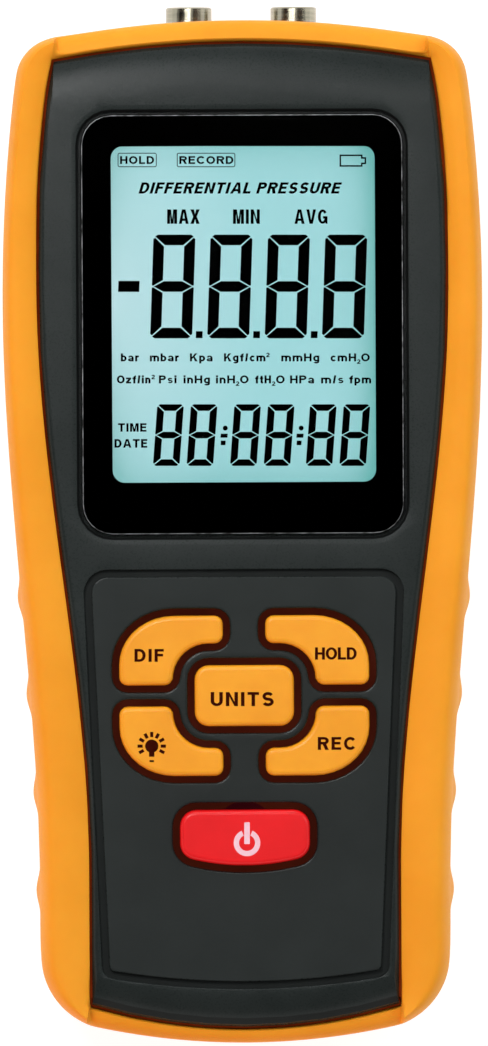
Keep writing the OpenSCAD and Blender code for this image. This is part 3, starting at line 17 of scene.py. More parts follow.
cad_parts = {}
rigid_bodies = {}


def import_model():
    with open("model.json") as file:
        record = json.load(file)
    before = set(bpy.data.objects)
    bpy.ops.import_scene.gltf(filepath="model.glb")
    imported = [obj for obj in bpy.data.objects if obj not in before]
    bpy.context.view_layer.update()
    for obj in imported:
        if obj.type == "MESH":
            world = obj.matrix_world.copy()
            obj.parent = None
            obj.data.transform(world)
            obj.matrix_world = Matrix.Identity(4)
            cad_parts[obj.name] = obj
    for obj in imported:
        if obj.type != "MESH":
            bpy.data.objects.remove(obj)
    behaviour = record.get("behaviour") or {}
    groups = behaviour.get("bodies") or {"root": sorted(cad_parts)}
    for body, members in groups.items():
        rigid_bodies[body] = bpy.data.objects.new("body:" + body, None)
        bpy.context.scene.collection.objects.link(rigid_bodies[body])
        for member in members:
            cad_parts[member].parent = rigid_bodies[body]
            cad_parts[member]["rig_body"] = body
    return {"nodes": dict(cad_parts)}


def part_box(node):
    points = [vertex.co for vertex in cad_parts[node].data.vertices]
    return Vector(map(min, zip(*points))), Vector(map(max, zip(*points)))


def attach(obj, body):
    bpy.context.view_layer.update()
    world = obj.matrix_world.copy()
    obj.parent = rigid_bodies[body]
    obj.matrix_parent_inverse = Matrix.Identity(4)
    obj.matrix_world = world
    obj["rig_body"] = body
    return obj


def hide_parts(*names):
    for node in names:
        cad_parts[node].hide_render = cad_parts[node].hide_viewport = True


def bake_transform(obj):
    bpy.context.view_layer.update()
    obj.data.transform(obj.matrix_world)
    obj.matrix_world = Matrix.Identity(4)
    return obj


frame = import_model()

LOG = logging.getLogger("manometer")
MM = 0.001
CASE = "case"
Point = tuple[float, float]
Loop = list[Point]
Span = tuple[float, float]
Point3 = tuple[float, float, float]
Values = Mapping[object, object]
Links = Mapping[object, bpy.types.NodeSocket]


# Node trees


def linear(hex_colour: str) -> tuple[float, float, float, float]:
    """Turns an sRGB hex colour into the linear colour that Blender's nodes take, with the standard's numbers.

    Args:
        hex_colour: Colour such as "#F59B24".

    Returns:
        Red, green, blue and alpha, linear, from 0 to 1.
    """
    parts = [int(hex_colour[i : i + 2], 16) / 255 for i in (1, 3, 5)]
    line = [p / 12.92 if p <= 0.04045 else ((p + 0.055) / 1.055) ** 2.4 for p in parts]
    return (line[0], line[1], line[2], 1.0)


def wire(
    tree: bpy.types.NodeTree,
    node: bpy.types.Node,
    values: Optional[Values] = None,
    links: Optional[Links] = None,
) -> None:
    """Sets and feeds the inputs of a node.

    Args:
        tree: Node tree that holds the node.
        node: The node.
        values: Input name or number to a constant.
        links: Input name or number to the output that feeds it.
    """
    for key, value in (values or {}).items():
        node.inputs[key].default_value = value
    for key, source in (links or {}).items():
        tree.links.new(source, node.inputs[key])


def add(
    tree: bpy.types.NodeTree,
    kind: str,
    values: Optional[Values] = None,
    links: Optional[Links] = None,
    **settings: object,
) -> bpy.types.Node:
    """Adds one shader node.

    Args:
        tree: Node tree that gets the node.
        kind: Node type without its "ShaderNode" prefix.
        values: Input name or number to a constant.
        links: Input name or number to the output that feeds it.
        **settings: Properties of the node itself.

    Returns:
        The new node.
    """
    node = tree.nodes.new("ShaderNode" + kind)
    for name, value in settings.items():
        setattr(node, name, value)
    wire(tree, node, values, links)
    return node


def ramp(
    tree: bpy.types.NodeTree,
    factor: bpy.types.NodeSocket,
    stops: Sequence[tuple[float, str]],
) -> bpy.types.NodeSocket:
    """Adds a colour ramp.

    Args:
        tree: Node tree.
        factor: Output that drives the ramp.
        stops: Two positions from 0 to 1 with their sRGB hex colours.

    Returns:
        The ramp's colour output.
    """
    node = add(tree, "ValToRGB", links={"Fac": factor})
    for element, (place, colour) in zip(node.color_ramp.elements, stops):
        element.position = place
        element.color = linear(colour)
    return node.outputs["Color"]


def per_metre(size_mm: float) -> float:
    """Returns the scale of a pattern whose cells have the given size."""
    return 1 / (size_mm * MM)


def new_material(name: str) -> tuple[bpy.types.Material, bpy.types.NodeTree, bpy.types.Node]:
    """Starts a material.

    Args:
        name: Name of the material.

    Returns:
        The material, its node tree and its shader.
    """
    material = bpy.data.materials.new(name)
    material.use_nodes = True
    return material, material.node_tree, material.node_tree.nodes["Principled BSDF"]


# Meshes

# Corners of loose triangles that lie closer than this are one.
MERGE = 0.002 * MM
# How far a corner may lie from the flat face that it belongs to.
LEVEL_SLACK = 0.05 * MM
TOP_SLACK = 0.005 * MM
# The upward part of a face's normal: below the first for a wall, and above the second for a flat face.
WALL_RISE = 0.1
FLAT_RISE = 0.9
# Triangles that turn less than this are one flat face, and edges that turn more than the next are rounded.
FLAT_DEG = 0.3
ROUNDED_DEG = 40
# Triangles become quads where they turn and skew less than this, and the quads are then divided so often.
QUAD_TURN_DEG = 20
QUAD_SKEW_DEG = 60
QUAD_LEVELS = 2
# The weighting at which large faces alone decide how a corner is shaded.
LARGE_FACES_LEAD = 100


def choose(piece: bpy.types.Object) -> None:
    """Selects only the given piece and makes it active.

    Args:
        piece: The piece.
    """
    bpy.ops.object.select_all(action="DESELECT")
    piece.select_set(True)
    bpy.context.view_layer.objects.active = piece


def open_all(piece: bpy.types.Object) -> None:
    """Enters edit mode with a piece selected all over.

    Args:
        piece: The piece.
    """
    choose(piece)
    bpy.ops.object.mode_set(mode="EDIT")
    bpy.ops.mesh.select_all(action="SELECT")


def pick(piece: bpy.types.Object, edges: Iterable[int] = (), faces: Iterable[int] = ()) -> None:
    """Enters edit mode with only the given edges or faces selected.

    Args:
        piece: The piece.
        edges: Numbers of the edges.
        faces: Numbers of the faces, where no edges are given.
    """
    choose(piece)
    bpy.ops.object.mode_set(mode="EDIT")
    bpy.ops.mesh.select_mode(type="EDGE" if edges else "FACE")
    bpy.ops.mesh.select_all(action="DESELECT")
    bpy.ops.object.mode_set(mode="OBJECT")
    for index in edges:
        piece.data.edges[index].select = True
    for index in faces:
        piece.data.polygons[index].select = True
    bpy.ops.object.mode_set(mode="EDIT")


def close() -> None:
    """Leaves edit mode."""
    bpy.ops.object.mode_set(mode="OBJECT")


def dress(piece: bpy.types.Object, material: bpy.types.Material) -> None:
    """Gives a piece one material over its whole surface."""
    piece.data.materials.clear()
    piece.data.materials.append(material)


def copied(node: str, name: str, bends: bool = False) -> bpy.types.Object:
    """Copies a CAD solid into a new piece, with its triangles joined up.

    Args:
        node: CAD node to copy.
        name: Name of the new piece, which replaces the node.
        bends: Whether it is left off the node's body.

    Returns:
        The new piece, which rides on the node's body unless bends is set.
    """
    source = frame["nodes"][node]
    piece = source.copy()
    piece.data = source.data.copy()
    for key in list(piece.keys()):
        del piece[key]
    piece.parent = None
    piece.name = name
    piece.data.name = name
    bpy.context.scene.collection.objects.link(piece)
    open_all(piece)
    bpy.ops.mesh.remove_doubles(threshold=MERGE)
    bpy.ops.mesh.customdata_custom_splitnormals_clear()
    bpy.ops.mesh.normals_make_consistent(inside=False)
    close()
    if not bends:
        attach(piece, source["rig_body"])
    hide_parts(node)
    return piece


def round_edges(piece: bpy.types.Object, width_mm: float) -> None:
    """Rounds the sharp edges of a piece, after the triangles of its flat faces are joined.

    Args:
        piece: The piece.
        width_mm: Width of the rounding.
    """
    open_all(piece)
    bpy.ops.mesh.dissolve_limited(angle_limit=math.radians(FLAT_DEG))
    close()
    rounding = piece.modifiers.new("edge rounding", "BEVEL")
    rounding.width = width_mm * MM
    rounding.segments = 2
    rounding.limit_method = "ANGLE"
    rounding.angle_limit = math.radians(ROUNDED_DEG)
    rounding.use_clamp_overlap = True
    bpy.ops.object.modifier_apply(modifier=rounding.name)


def round_rims(piece: bpy.types.Object, level: float, width_mm: float) -> None:
    """Rounds the rims where walls go straight down from a flat face.

    Args:
        piece: The piece.
        level: Height of the face.
        width_mm: Width of the rounding.
    """
    sides: dict[tuple[int, int], list[float]] = {}
    for polygon in piece.data.polygons:
        for key in polygon.edge_keys:
            sides.setdefault(key, []).append(abs(polygon.normal.z))
    rims = []
    for edge in piece.data.edges:
        heights = [piece.data.vertices[v].co.z for v in edge.vertices]
        on_level = all(abs(z - level) < LEVEL_SLACK for z in heights)
        slopes = sorted(sides.get(edge.key, []))
        if on_level and len(slopes) == 2 and slopes[0] < WALL_RISE and slopes[1] > FLAT_RISE:
            rims.append(edge.index)
    pick(piece, edges=rims)
    bpy.ops.mesh.bevel(
        offset=width_mm * MM, offset_type="OFFSET", segments=2, affect="EDGES", clamp_overlap=False
    )
    close()


def lower_top(piece: bpy.types.Object, depth: float) -> None:
    """Makes the flat top of a piece one face and lowers it, so that its print ends at the old height.

    Args:
        piece: The piece.
        depth: How far its top goes down.
    """
    heights = [v.co.z for v in piece.data.vertices]
    level = max(heights) - TOP_SLACK
    top = [p.index for p in piece.data.polygons if all(heights[v] > level for v in p.vertices)]
    pick(piece, faces=top)
    bpy.ops.mesh.dissolve_faces()
    bpy.ops.transform.translate(value=(0, 0, -depth))
    close()


def refine(piece: bpy.types.Object, degrees: float) -> None:
    """Rounds out the flats of a moulding's curves, and keeps its sharp edges.

    Args:
        piece: The piece.
        degrees: Edges that turn more than this stay sharp.
    """
    open_all(piece)
    bpy.ops.mesh.tris_convert_to_quads(
        face_threshold=math.radians(QUAD_TURN_DEG), shape_threshold=math.radians(QUAD_SKEW_DEG)
    )
    bpy.ops.mesh.select_mode(type="EDGE")
    bpy.ops.mesh.select_all(action="DESELECT")
    bpy.ops.mesh.edges_select_sharp(sharpness=math.radians(degrees))
    bpy.ops.transform.edge_crease(value=1)
    close()
    rounding = piece.modifiers.new("rounded flats", "SUBSURF")
    rounding.levels = QUAD_LEVELS
    rounding.render_levels = QUAD_LEVELS
    bpy.ops.object.modifier_apply(modifier=rounding.name)


def smooth(piece: bpy.types.Object, degrees: float) -> None:
    """Shades a piece smooth.

    Args:
        piece: The piece.
        degrees: Edges that turn less than this are shaded smooth.
    """
    choose(piece)
    bpy.ops.object.shade_smooth_by_angle(angle=math.radians(degrees))


def shaded(piece: bpy.types.Object, degrees: float) -> bpy.types.Object:
    """Shades a piece smooth, with flat faces that stay flat beside their roundings.

    Args:
        piece: The piece.
        degrees: Edges that turn less than this are shaded smooth.

    Returns:
        The same piece.
    """
    smooth(piece, degrees)
    weighing = piece.modifiers.new("weighted normals", "WEIGHTED_NORMAL")
    weighing.mode = "FACE_AREA"
    weighing.weight = LARGE_FACES_LEAD
    weighing.keep_sharp = True
    bpy.ops.object.modifier_apply(modifier=weighing.name)
    return piece


def sheet(name: str, loops: Iterable[Loop], z: float, thickness: float) -> bpy.types.Object:
    """Cuts a thin flat piece out of closed outlines; an outline inside another one is a hole.

    Args:
        name: Name of the piece.
        loops: Closed outlines in the object's frame.
        z: Height of its underside.
        thickness: Its thickness.

    Returns:
        The flat piece as a mesh.
    """
    curve = bpy.data.curves.new(name, "CURVE")
    curve.dimensions = "2D"
    curve.fill_mode = "BOTH"
    curve.extrude = thickness / 2
    for loop in loops:
        spline = curve.splines.new("POLY")
        spline.points.add(len(loop) - 1)
        for point, (x, y) in zip(spline.points, loop):
            point.co = (x, y, 0, 1)
        spline.use_cyclic_u = True
    piece = bpy.data.objects.new(name, curve)
    bpy.context.scene.collection.objects.link(piece)
    choose(piece)
    bpy.ops.object.convert(target="MESH")
    piece.data.transform(Matrix.Translation((0, 0, z + thickness / 2)))
    return piece


# Outlines


def bow(x: float, y: float, rx: float, ry: float, start: float, end: float, steps: int = 14) -> Loop:
    """Draws part of an ellipse.

    Args:
        x: Its middle, sideways.
        y: Its middle, upwards.
        rx: Half of its width.
        ry: Half of its height.
        start: First angle in degrees.
        end: Last angle in degrees.
        steps: Steps between them.

    Returns:
        Points from the first angle to the last one.
    """
    angles = [math.radians(start + (end - start) * i / steps) for i in range(steps + 1)]
    return [(x + rx * math.cos(a), y + ry * math.sin(a)) for a in angles]


def block(x0: float, y0: float, x1: float, y1: float, lean: float = 0.0) -> Loop:
    """Draws a block with four corners.

    Args:
        x0: Left side.
        y0: First end.
        x1: Right side.
        y1: Second end.
        lean: How far the second end lies to the left.

    Returns:
        The outline.
    """
    return [(x0, y0), (x1, y0), (x1 - lean, y1), (x0 - lean, y1)]


def rounded_box(x0: float, y0: float, x1: float, y1: float, radius: float, steps: int = 4) -> Loop:
    """Draws a rectangle with rounded corners.

    Args:
        x0: Left side.
        y0: Lower side.
        x1: Right side.
        y1: Upper side.
        radius: Radius of its corners.
        steps: Steps along each corner.

    Returns:
        The outline, anticlockwise.
    """
    left, low, right, high = x0 + radius, y0 + radius, x1 - radius, y1 - radius
    corners = ((right, low, -90), (right, high, 0), (left, high, 90), (left, low, 180))
    outline: Loop = []
    for x, y, start in corners:
        outline += bow(x, y, radius, radius, start, start + 90, steps)
    return outline


def stroke(path: Loop, width: float) -> Loop:
    """Turns a smooth centre line into the outline of a stroke with flat ends.

    Args:
        path: Points of the centre line.
        width: Width of the stroke.

    Returns:
        The closed outline.
    """
    left: Loop = []
    right: Loop = []
    for i, (x, y) in enumerate(path):
        ax, ay = path[max(i - 1, 0)]
        bx, by = path[min(i + 1, len(path) - 1)]
        length = math.hypot(bx - ax, by - ay)
        nx, ny = -(by - ay) / length * width / 2, (bx - ax) / length * width / 2
        left.append((x + nx, y + ny))
        right.append((x - nx, y - ny))
    return left + right[::-1]


@dataclass(frozen=True)
class PhotoScale:
    """Where a point of the 488 by 1046 photograph lies on the object, seen straight from the front."""

    pixel: float = 0.1564 * MM
    middle_px: Point = (243.5, 531.5)
    middle_y: float = -1.1 * MM
    roll_deg: float = 0.28
    frame_px: Point = (488, 1046)

    def spot(self, px: float, py: float) -> Point:
        """Turns a pixel of the photograph into a place on the object.

        Args:
            px: Its column.
            py: Its row.

        Returns:
            The place's x and y.
        """
        dx = (px - self.middle_px[0]) * self.pixel
        dy = (self.middle_px[1] - py) * self.pixel
        c, s = math.cos(math.radians(self.roll_deg)), math.sin(math.radians(self.roll_deg))
        return (dx * c + dy * s, dy * c - dx * s + self.middle_y)

    def loop(self, points: Iterable[Point]) -> Loop:
        """Turns an outline in pixels into one on the object."""
        return [self.spot(x, y) for x, y in points]


PHOTO = PhotoScale()


# Finishes

# Where nearly all values of a noise texture lie.
NOISE = {"From Min": 0.3, "From Max": 0.7}
# Refraction of common plastics and rubbers.
MOULDED_IOR = 1.5
# How far light runs inside orange rubber, for red, green and blue, as shares of the reach.
BLEED_SHARES = (1.0, 0.25, 0.06)
BLEED_REACH = 1.2 * MM


@dataclass(frozen=True)
class Moulded:
    """Moulded rubber or plastic: a body colour with soft mottle, and a moulded grain that breaks the gloss.

    The mottle goes from dark to light between its ends, which are values of a noise. The bleed lets light
    run under the surface of rubber. The glow is painted light: an emission that stands in for the light
    that reaches a part deep in the case through the rubber round it.
    """

    name: str
    light: str
    dark: str
    roughness: float
    roughness_spread: float = 0.06
    mottle_mm: float = 9.0
    grain_mm: float = 0.35
    grain_depth_mm: float = 0.01
    bump: float = 0.6
    mottle_ends: Span = (0.35, 0.65)
    specular: float = 0.5
    coat: float = 0.0
    bleed: float = 0.0
    glow: float = 0.0

    def material(self) -> bpy.types.Material:
        """Builds the material.

        Returns:
            A material whose pattern reads object coordinates.
        """
        material, tree, shader = new_material(self.name)
        place = {"Vector": add(tree, "TexCoord").outputs["Object"]}
        blotches = {"Scale": per_metre(self.mottle_mm), "Detail": 3.0, "Roughness": 0.6}
        mottle = add(tree, "TexNoise", blotches, place).outputs["Fac"]
        dark_end, light_end = self.mottle_ends
        colour = ramp(tree, mottle, [(dark_end, self.dark), (light_end, self.light)])
        fine = {"Scale": per_metre(self.grain_mm), "Detail": 2.0}
        grain = add(tree, "TexNoise", fine, place).outputs["Fac"]
        low, high = self.roughness - self.roughness_spread, self.roughness + self.roughness_spread
        gloss = add(tree, "MapRange", {**NOISE, "To Min": low, "To Max": high}, {"Value": grain})
        relief = {"Strength": self.bump, "Distance": self.grain_depth_mm * MM}
        bump = add(tree, "Bump", relief, {"Height": grain})
        wire(
            tree,
            shader,
            {"IOR": MOULDED_IOR, "Specular IOR Level": self.specular, "Coat Weight": self.coat},
            {"Base Color": colour, "Roughness": gloss.outputs["Result"], "Normal": bump.outputs["Normal"]},
        )
        # Painted glow: the body colour given off as light, standing in for light that comes through rubber.
        if self.glow:
            wire(tree, shader, {"Emission Strength": self.glow}, {"Emission Color": colour})
        if self.bleed:
            inside = {"Subsurface Radius": BLEED_SHARES, "Subsurface Scale": BLEED_REACH}
            wire(tree, shader, {"Subsurface Weight": self.bleed, **inside})
        return material


@dataclass(frozen=True)
class TurnedMetal:
    """Turned or drawn metal: fine tool marks that stretch the gloss.

    The marks follow one another in the direction across. In the other directions they run long: there the
    pattern keeps only a share of its scale, which is run. Real marks are about 0.05 mm wide, too fine to
    show, so they are drawn wider.
    """

    name: str
    light: str
    dark: str
    roughness: float
    mark_mm: float = 0.25
    mark_depth_mm: float = 0.004
    bump: float = 0.5
    gloss_shares: Span = (0.8, 1.25)
    run: float = 0.04
    across: Vector = Vector((0, 1, 0))

    def material(self) -> bpy.types.Material:
        """Builds the material.

        Returns:
            A metal whose tool marks run round the given axis.
        """
        material, tree, shader = new_material(self.name)
        place = add(tree, "TexCoord").outputs["Object"]
        scale = tuple(self.run + (1 - self.run) * share for share in self.across)
        stretched = {"Vector": add(tree, "Mapping", {"Scale": scale}, {"Vector": place}).outputs["Vector"]}
        fine = {"Scale": per_metre(self.mark_mm), "Detail": 2.0}
        marks = add(tree, "TexNoise", fine, stretched).outputs["Fac"]
        colour = ramp(tree, marks, [(NOISE["From Min"], self.dark), (NOISE["From Max"], self.light)])
        low, high = (self.roughness * share for share in self.gloss_shares)
        gloss = add(tree, "MapRange", {**NOISE, "To Min": low, "To Max": high}, {"Value": marks})
        relief = {"Strength": self.bump, "Distance": self.mark_depth_mm * MM}
        bump = add(tree, "Bump", relief, {"Height": marks})
        wire(
            tree,
            shader,
            {"Metallic": 1.0},
            {"Base Color": colour, "Roughness": gloss.outputs["Result"], "Normal": bump.outputs["Normal"]},
        )
        return material


@dataclass(frozen=True)
class ClearWindow:
    """Clear acrylic window: polished, with hardly any tint, and with faint marks of wiping."""

    name: str
    tint: str
    roughness: float = 0.02
    ior: float = 1.49
    wipe_mm: float = 14
    gloss_shares: Span = (0.5, 1.5)

    def material(self) -> bpy.types.Material:
        """Builds the material.

        Returns:
            A clear material with faint wipe marks in its gloss.
        """
        material, tree, shader = new_material(self.name)
        place = add(tree, "TexCoord").outputs["Object"]
        marks = add(tree, "TexNoise", {"Scale": per_metre(self.wipe_mm), "Detail": 4.0}, {"Vector": place})
        low, high = (self.roughness * share for share in self.gloss_shares)
        gloss = add(tree, "MapRange", {"To Min": low, "To Max": high}, {"Value": marks.outputs["Fac"]})
        clear = {"Base Color": linear(self.tint), "IOR": self.ior, "Transmission Weight": 1.0}
        wire(tree, shader, clear, {"Roughness": gloss.outputs["Result"]})
        return material


@dataclass(frozen=True)
class BacklitGlass:
    """Display glass lit from behind: teal, palest at the left by its lamp, with painted shade along its rim.
    """

    name: str
    teal: str
    pale: str
    # Colour of the painted shade along the rim.
    dim: str
    unlit: str
    lamp_px: Point
    lamp_reach: Span
    middle_px: Point
    half_px: Point
    rim_power: float = 8.0
    grain_mm: float = 0.4
    gloss: Span = (0.25, 0.4)

    def centred(self, tree: bpy.types.NodeTree, middle_px: Point, reach: Span) -> Links:
        """Moves and scales the object coordinates, so that they are 0 in a middle and 1 at a reach from it.

        Args:
            tree: Node tree.
            middle_px: The middle.
            reach: How far the pattern reaches, sideways and upwards.

        Returns:
            The moved coordinates, as the input of a node.
        """
        (x, y), (across, along) = PHOTO.spot(*middle_px), reach
        move = {"Location": (-x / across, -y / along, 0), "Scale": (1 / across, 1 / along, 0)}
        place = add(tree, "TexCoord").outputs["Object"]
        return {"Vector": add(tree, "Mapping", move, {"Vector": place}).outputs["Vector"]}

    def material(self) -> bpy.types.Material:
        """Builds the material from two soft gradients.

        Returns:
            A glowing material that reads object coordinates.
        """
        material, tree, shader = new_material(self.name)
        lamp = self.centred(tree, self.lamp_px, self.lamp_reach)
        glow = add(tree, "TexGradient", links=lamp, gradient_type="SPHERICAL").outputs["Fac"]
        half = (self.half_px[0] * PHOTO.pixel, self.half_px[1] * PHOTO.pixel)
        sides = add(tree, "SeparateXYZ", links=self.centred(tree, self.middle_px, half))
        near_rim = []
        for axis in "XY":
            side = add(tree, "Math", links={0: sides.outputs[axis]}, operation="ABSOLUTE").outputs[0]
            near_rim.append(add(tree, "Math", {1: self.rim_power}, {0: side}, operation="POWER").outputs[0])
        rim = add(tree, "Math", links=dict(enumerate(near_rim)), operation="ADD")
        # Painted shade: the teal darkens to the dim colour near the rim.
        base = ramp(tree, rim.outputs[0], [(0.0, self.teal), (1.0, self.dim)])
        # Inputs 6 and 7 are the two colours that the node mixes, and output 2 is its colour.
        lit = add(tree, "Mix", {7: linear(self.pale)}, {"Factor": glow, 6: base}, data_type="RGBA")
        place = {"Vector": add(tree, "TexCoord").outputs["Object"]}
        grain = add(tree, "TexNoise", {"Scale": per_metre(self.grain_mm)}, place)
        low, high = self.gloss
        gloss = add(tree, "MapRange", {"To Min": low, "To Max": high}, {"Value": grain.outputs["Fac"]})
        wire(
            tree,
            shader,
            {"Base Color": linear(self.unlit), "Emission Strength": 1.0},
            {"Emission Color": lit.outputs[2], "Roughness": gloss.outputs["Result"]},
        )
        return material


@dataclass(frozen=True)
class Banded:
    """Printed wrap of a battery: a wide dark field and a metallic band at the terminals' end."""

    name: str
    field: str
    band: str
    roughness: float
    band_from: float = -33.0 * MM
    band_edge: float = 0.2 * MM
    wear_mm: float = 5
    gloss_shares: Span = (0.7, 1.3)

    def material(self) -> bpy.types.Material:
        """Builds the material.

        Returns:
            A material whose band begins at one height along the object.
        """
        material, tree, shader = new_material(self.name)
        place = {"Vector": add(tree, "TexCoord").outputs["Object"]}
        along = add(tree, "SeparateXYZ", links=place).outputs["Y"]
        edge = {"From Min": self.band_from, "From Max": self.band_from + self.band_edge}
        share = add(tree, "MapRange", edge, {"Value": along}).outputs["Result"]
        colour = ramp(tree, share, [(0.0, self.field), (1.0, self.band)])
        wear = add(tree, "TexNoise", {"Scale": per_metre(self.wear_mm), "Detail": 4.0}, place)
        low, high = (self.roughness * share for share in self.gloss_shares)
        gloss = add(tree, "MapRange", {"To Min": low, "To Max": high}, {"Value": wear.outputs["Fac"]})
        fed = {"Base Color": colour, "Roughness": gloss.outputs["Result"], "Metallic": share}
        wire(tree, shader, links=fed)
        return material


@dataclass(frozen=True)
class SolderMask:
    """Circuit board: copper tracks that show faintly through the solder mask, as bands of a grid of cells."""

    name: str
    green: str
    track: str
    track_mm: float = 1.6
    track_height_mm: float = 0.03
    track_ends: Span = (0.35, 0.55)
    bump: float = 0.4
    roughness: float = 0.3

    def material(self) -> bpy.types.Material:
        """Builds the material.

        Returns:
            A material whose cells read object coordinates.
        """
        material, tree, shader = new_material(self.name)
        place = {"Vector": add(tree, "TexCoord").outputs["Object"]}
        size = {"Scale": per_metre(self.track_mm)}
        cells = add(tree, "TexVoronoi", size, place, distance="MANHATTAN", feature="F1").outputs["Distance"]
        green_end, track_end = self.track_ends
        colour = ramp(tree, cells, [(green_end, self.green), (track_end, self.track)])
        relief = {"Strength": self.bump, "Distance": self.track_height_mm * MM}
        bump = add(tree, "Bump", relief, {"Height": cells}).outputs["Normal"]
        wire(tree, shader, {"Roughness": self.roughness}, {"Base Color": colour, "Normal": bump})
        return material


class Finishes(Enum):
    """The object's finishes, by what each real surface is.

    A moulded grain of 0.1 mm is too fine to show, so it is drawn 0.3 to 0.5 mm wide.
    """

    # Thermoplastic rubber, moulded with a fine grain: a matt, warm orange that light sinks into a little.
    HOLSTER = Moulded(
        "holster_rubber", "#F19F28", "#EB9822", 0.55,
        grain_mm=0.5, grain_depth_mm=0.012, mottle_mm=14, specular=0.12, bleed=0.2,
    )
    # ABS, moulded with a satin grain: a dark grey whose bends carry a soft highlight.
    SHELL = Moulded(
        "shell_abs", "#232928", "#1F2524", 0.3, grain_mm=0.3, grain_depth_mm=0.012, specular=0.22
    )
    # The same ABS, etched more matt: the panel is a little duller than the shell round it.
    PANEL = Moulded(
        "panel_abs", "#202625", "#1C2221", 0.55, grain_mm=0.3, grain_depth_mm=0.012, specular=0.25
    )
    # ABS down in the panel's groove, with painted shade: a shade darker, as little light falls in.
    GROOVE = Moulded("groove_abs_painted_shade", "#1E2221", "#1A1E1D", 0.6, grain_mm=0.3, specular=0.15)
    # ABS on the walls of the display's recess, with painted shade: almost black, as no highlight reaches it.
    RECESS = Moulded("recess_abs_painted_shade", "#0C0E0E", "#090B0B", 0.6, grain_mm=0.3, specular=0.05)
    # ABS close under the holster's lip, with a painted red-brown glow for the light that comes through the
    # rubber.
    UNDER_LIP = Moulded("shell_painted_lip_glow", "#7A2A0A", "#5E1D06", 0.6, specular=0.0, glow=0.5)
    # Silicone, moulded and lacquered: orange keys with a thin clear gloss.
    KEY = Moulded(
        "key_silicone", "#F3A31C", "#ED9B16", 0.38,
        grain_mm=0.4, grain_depth_mm=0.004, specular=0.35, coat=0.12, bleed=0.15,
    )
    # The same lacquered silicone in red, whose pigment lets no light in.
    POWER_KEY = Moulded(
        "power_key_silicone", "#EA0A14", "#E20811", 0.34,
        grain_mm=0.4, grain_depth_mm=0.004, specular=0.35, coat=0.12,
    )
    # Bare silicone deep beside the keys: a dark brown-red that paints the shade there, with a painted glow
    # for the orange light that comes down through the rubber.
    MAT = Moulded(
        "mat_silicone_painted_light", "#401409", "#371008", 0.6, grain_mm=0.4, grain_depth_mm=0.004, specular=0.1, glow=0.8
    )
    # The same painted shade and glow beside the red key: a darker wine red.
    POWER_MAT = Moulded("power_mat_silicone", "#30060B", "#290409", 0.6, specular=0.1, glow=0.8)
    # Screen-printed ink: flat and even, a brown black.
    INK = Moulded("legend_ink", "#3A1008", "#330B05", 0.6, mottle_mm=1.2, specular=0.0)
    # Screen-printed pale ink: the red under it shows through as pink.
    PALE_INK = Moulded("power_ink", "#F3CBD6", "#EDBFCC", 0.5, mottle_mm=1.2, specular=0.2)
    # Switched-on liquid crystal: black that throws nothing back.
    SEGMENT = Moulded("display_segments", "#030404", "#010101", 0.9, mottle_mm=3, specular=0.0)
    # Black film, printed behind the window: flat black.
    FRAME_FILM = Moulded("frame_film", "#070403", "#050302", 0.7, mottle_mm=6, specular=0.0)
    # ABS frame round the display: plain moulded black.
    BEZEL = Moulded("bezel_abs", "#17181A", "#121314", 0.5)
    # Opal acrylic behind the display: milky white and satin.
    LIGHT_GUIDE = Moulded("light_guide", "#EEF4F5", "#E2ECEE", 0.35)
    # Layered contact rubber: beige, with a speckle of its carbon layers, drawn coarser so that it shows.
    CONTACT = Moulded("contact_rubber", "#CFC9C1", "#BBB4AB", 0.6, mottle_mm=0.4)
    # Moulded epoxy of the chips and the sensor: matt charcoal.
    CHIP = Moulded("chip_epoxy", "#26282A", "#1E2022", 0.55)
    # Carbon-filled silicone: a dull, sooty black.
    CARBON = Moulded("carbon_pill", "#161616", "#0E0E0E", 0.7)
    # Nitrile rubber rings: black with hardly any shine.
    SEAL = Moulded("seal_rubber", "#1D1D1F", "#151517", 0.6)
    # Extruded silicone tube: milky and smooth.
    TUBE = Moulded("tube_silicone", "#DEDBD2", "#CFCBBF", 0.4)
    # Dipped vinyl of the battery snap: black with a soft shine.
    SNAP = Moulded("snap_vinyl", "#202225", "#191B1D", 0.42)
    # Extruded vinyl of the leads: smooth, a little glossy.
    RED_LEAD = Moulded("red_lead_vinyl", "#B3262B", "#A52126", 0.35)
    BLACK_LEAD = Moulded("black_lead_vinyl", "#17181A", "#111213", 0.35)
    # Open-cell foam: grey, matt and pitted.
    FOAM = Moulded("foam_pad", "#4C4E50", "#3A3C3E", 0.9, mottle_mm=0.8, grain_mm=0.5, grain_depth_mm=0.15)
    # Printed foil wrap: glossy dark field, copper-coloured band.
    BATTERY = Banded("battery_wrap", "#22262B", "#B4743A", 0.3)
    # Cast acrylic, polished: clear and bright.
    LENS = ClearWindow("window_acrylic", "#F4FAFA")
    # The window's rounded rim: a painted highlight, a pale, broken line of light on black.
    GROUND_EDGE = Moulded("painted_rim_highlight", "#8C9092", "#060707", 0.45, mottle_mm=1.6)
    # Liquid-crystal glass over its light: an even teal that pales towards the lamp, with painted shade at its
    # rim.
    DISPLAY = BacklitGlass(
        "display_glass", teal="#A8DEE2", pale="#C6E8ED", dim="#6BB6B2", unlit="#10201F",
        lamp_px=(112, 305), lamp_reach=(24 * MM, 36 * MM), middle_px=(244, 314.8), half_px=(132.2, 185.0),
    )
    # Glass-fibre board under solder mask: glossy green with faint tracks.
    BOARD = SolderMask("board_solder_mask", "#1F6B3A", "#2B8049")
    # Turned brass, nickel-plated: a warm silver with bright and dark bands round the ports.
    NICKEL = TurnedMetal("nickel_plate", "#B8B3A0", "#A39E8C", 0.18)
    # Bare turned brass: yellow, a little duller.
    BRASS = TurnedMetal("nut_brass", "#D4B25C", "#BF9C48", 0.25)
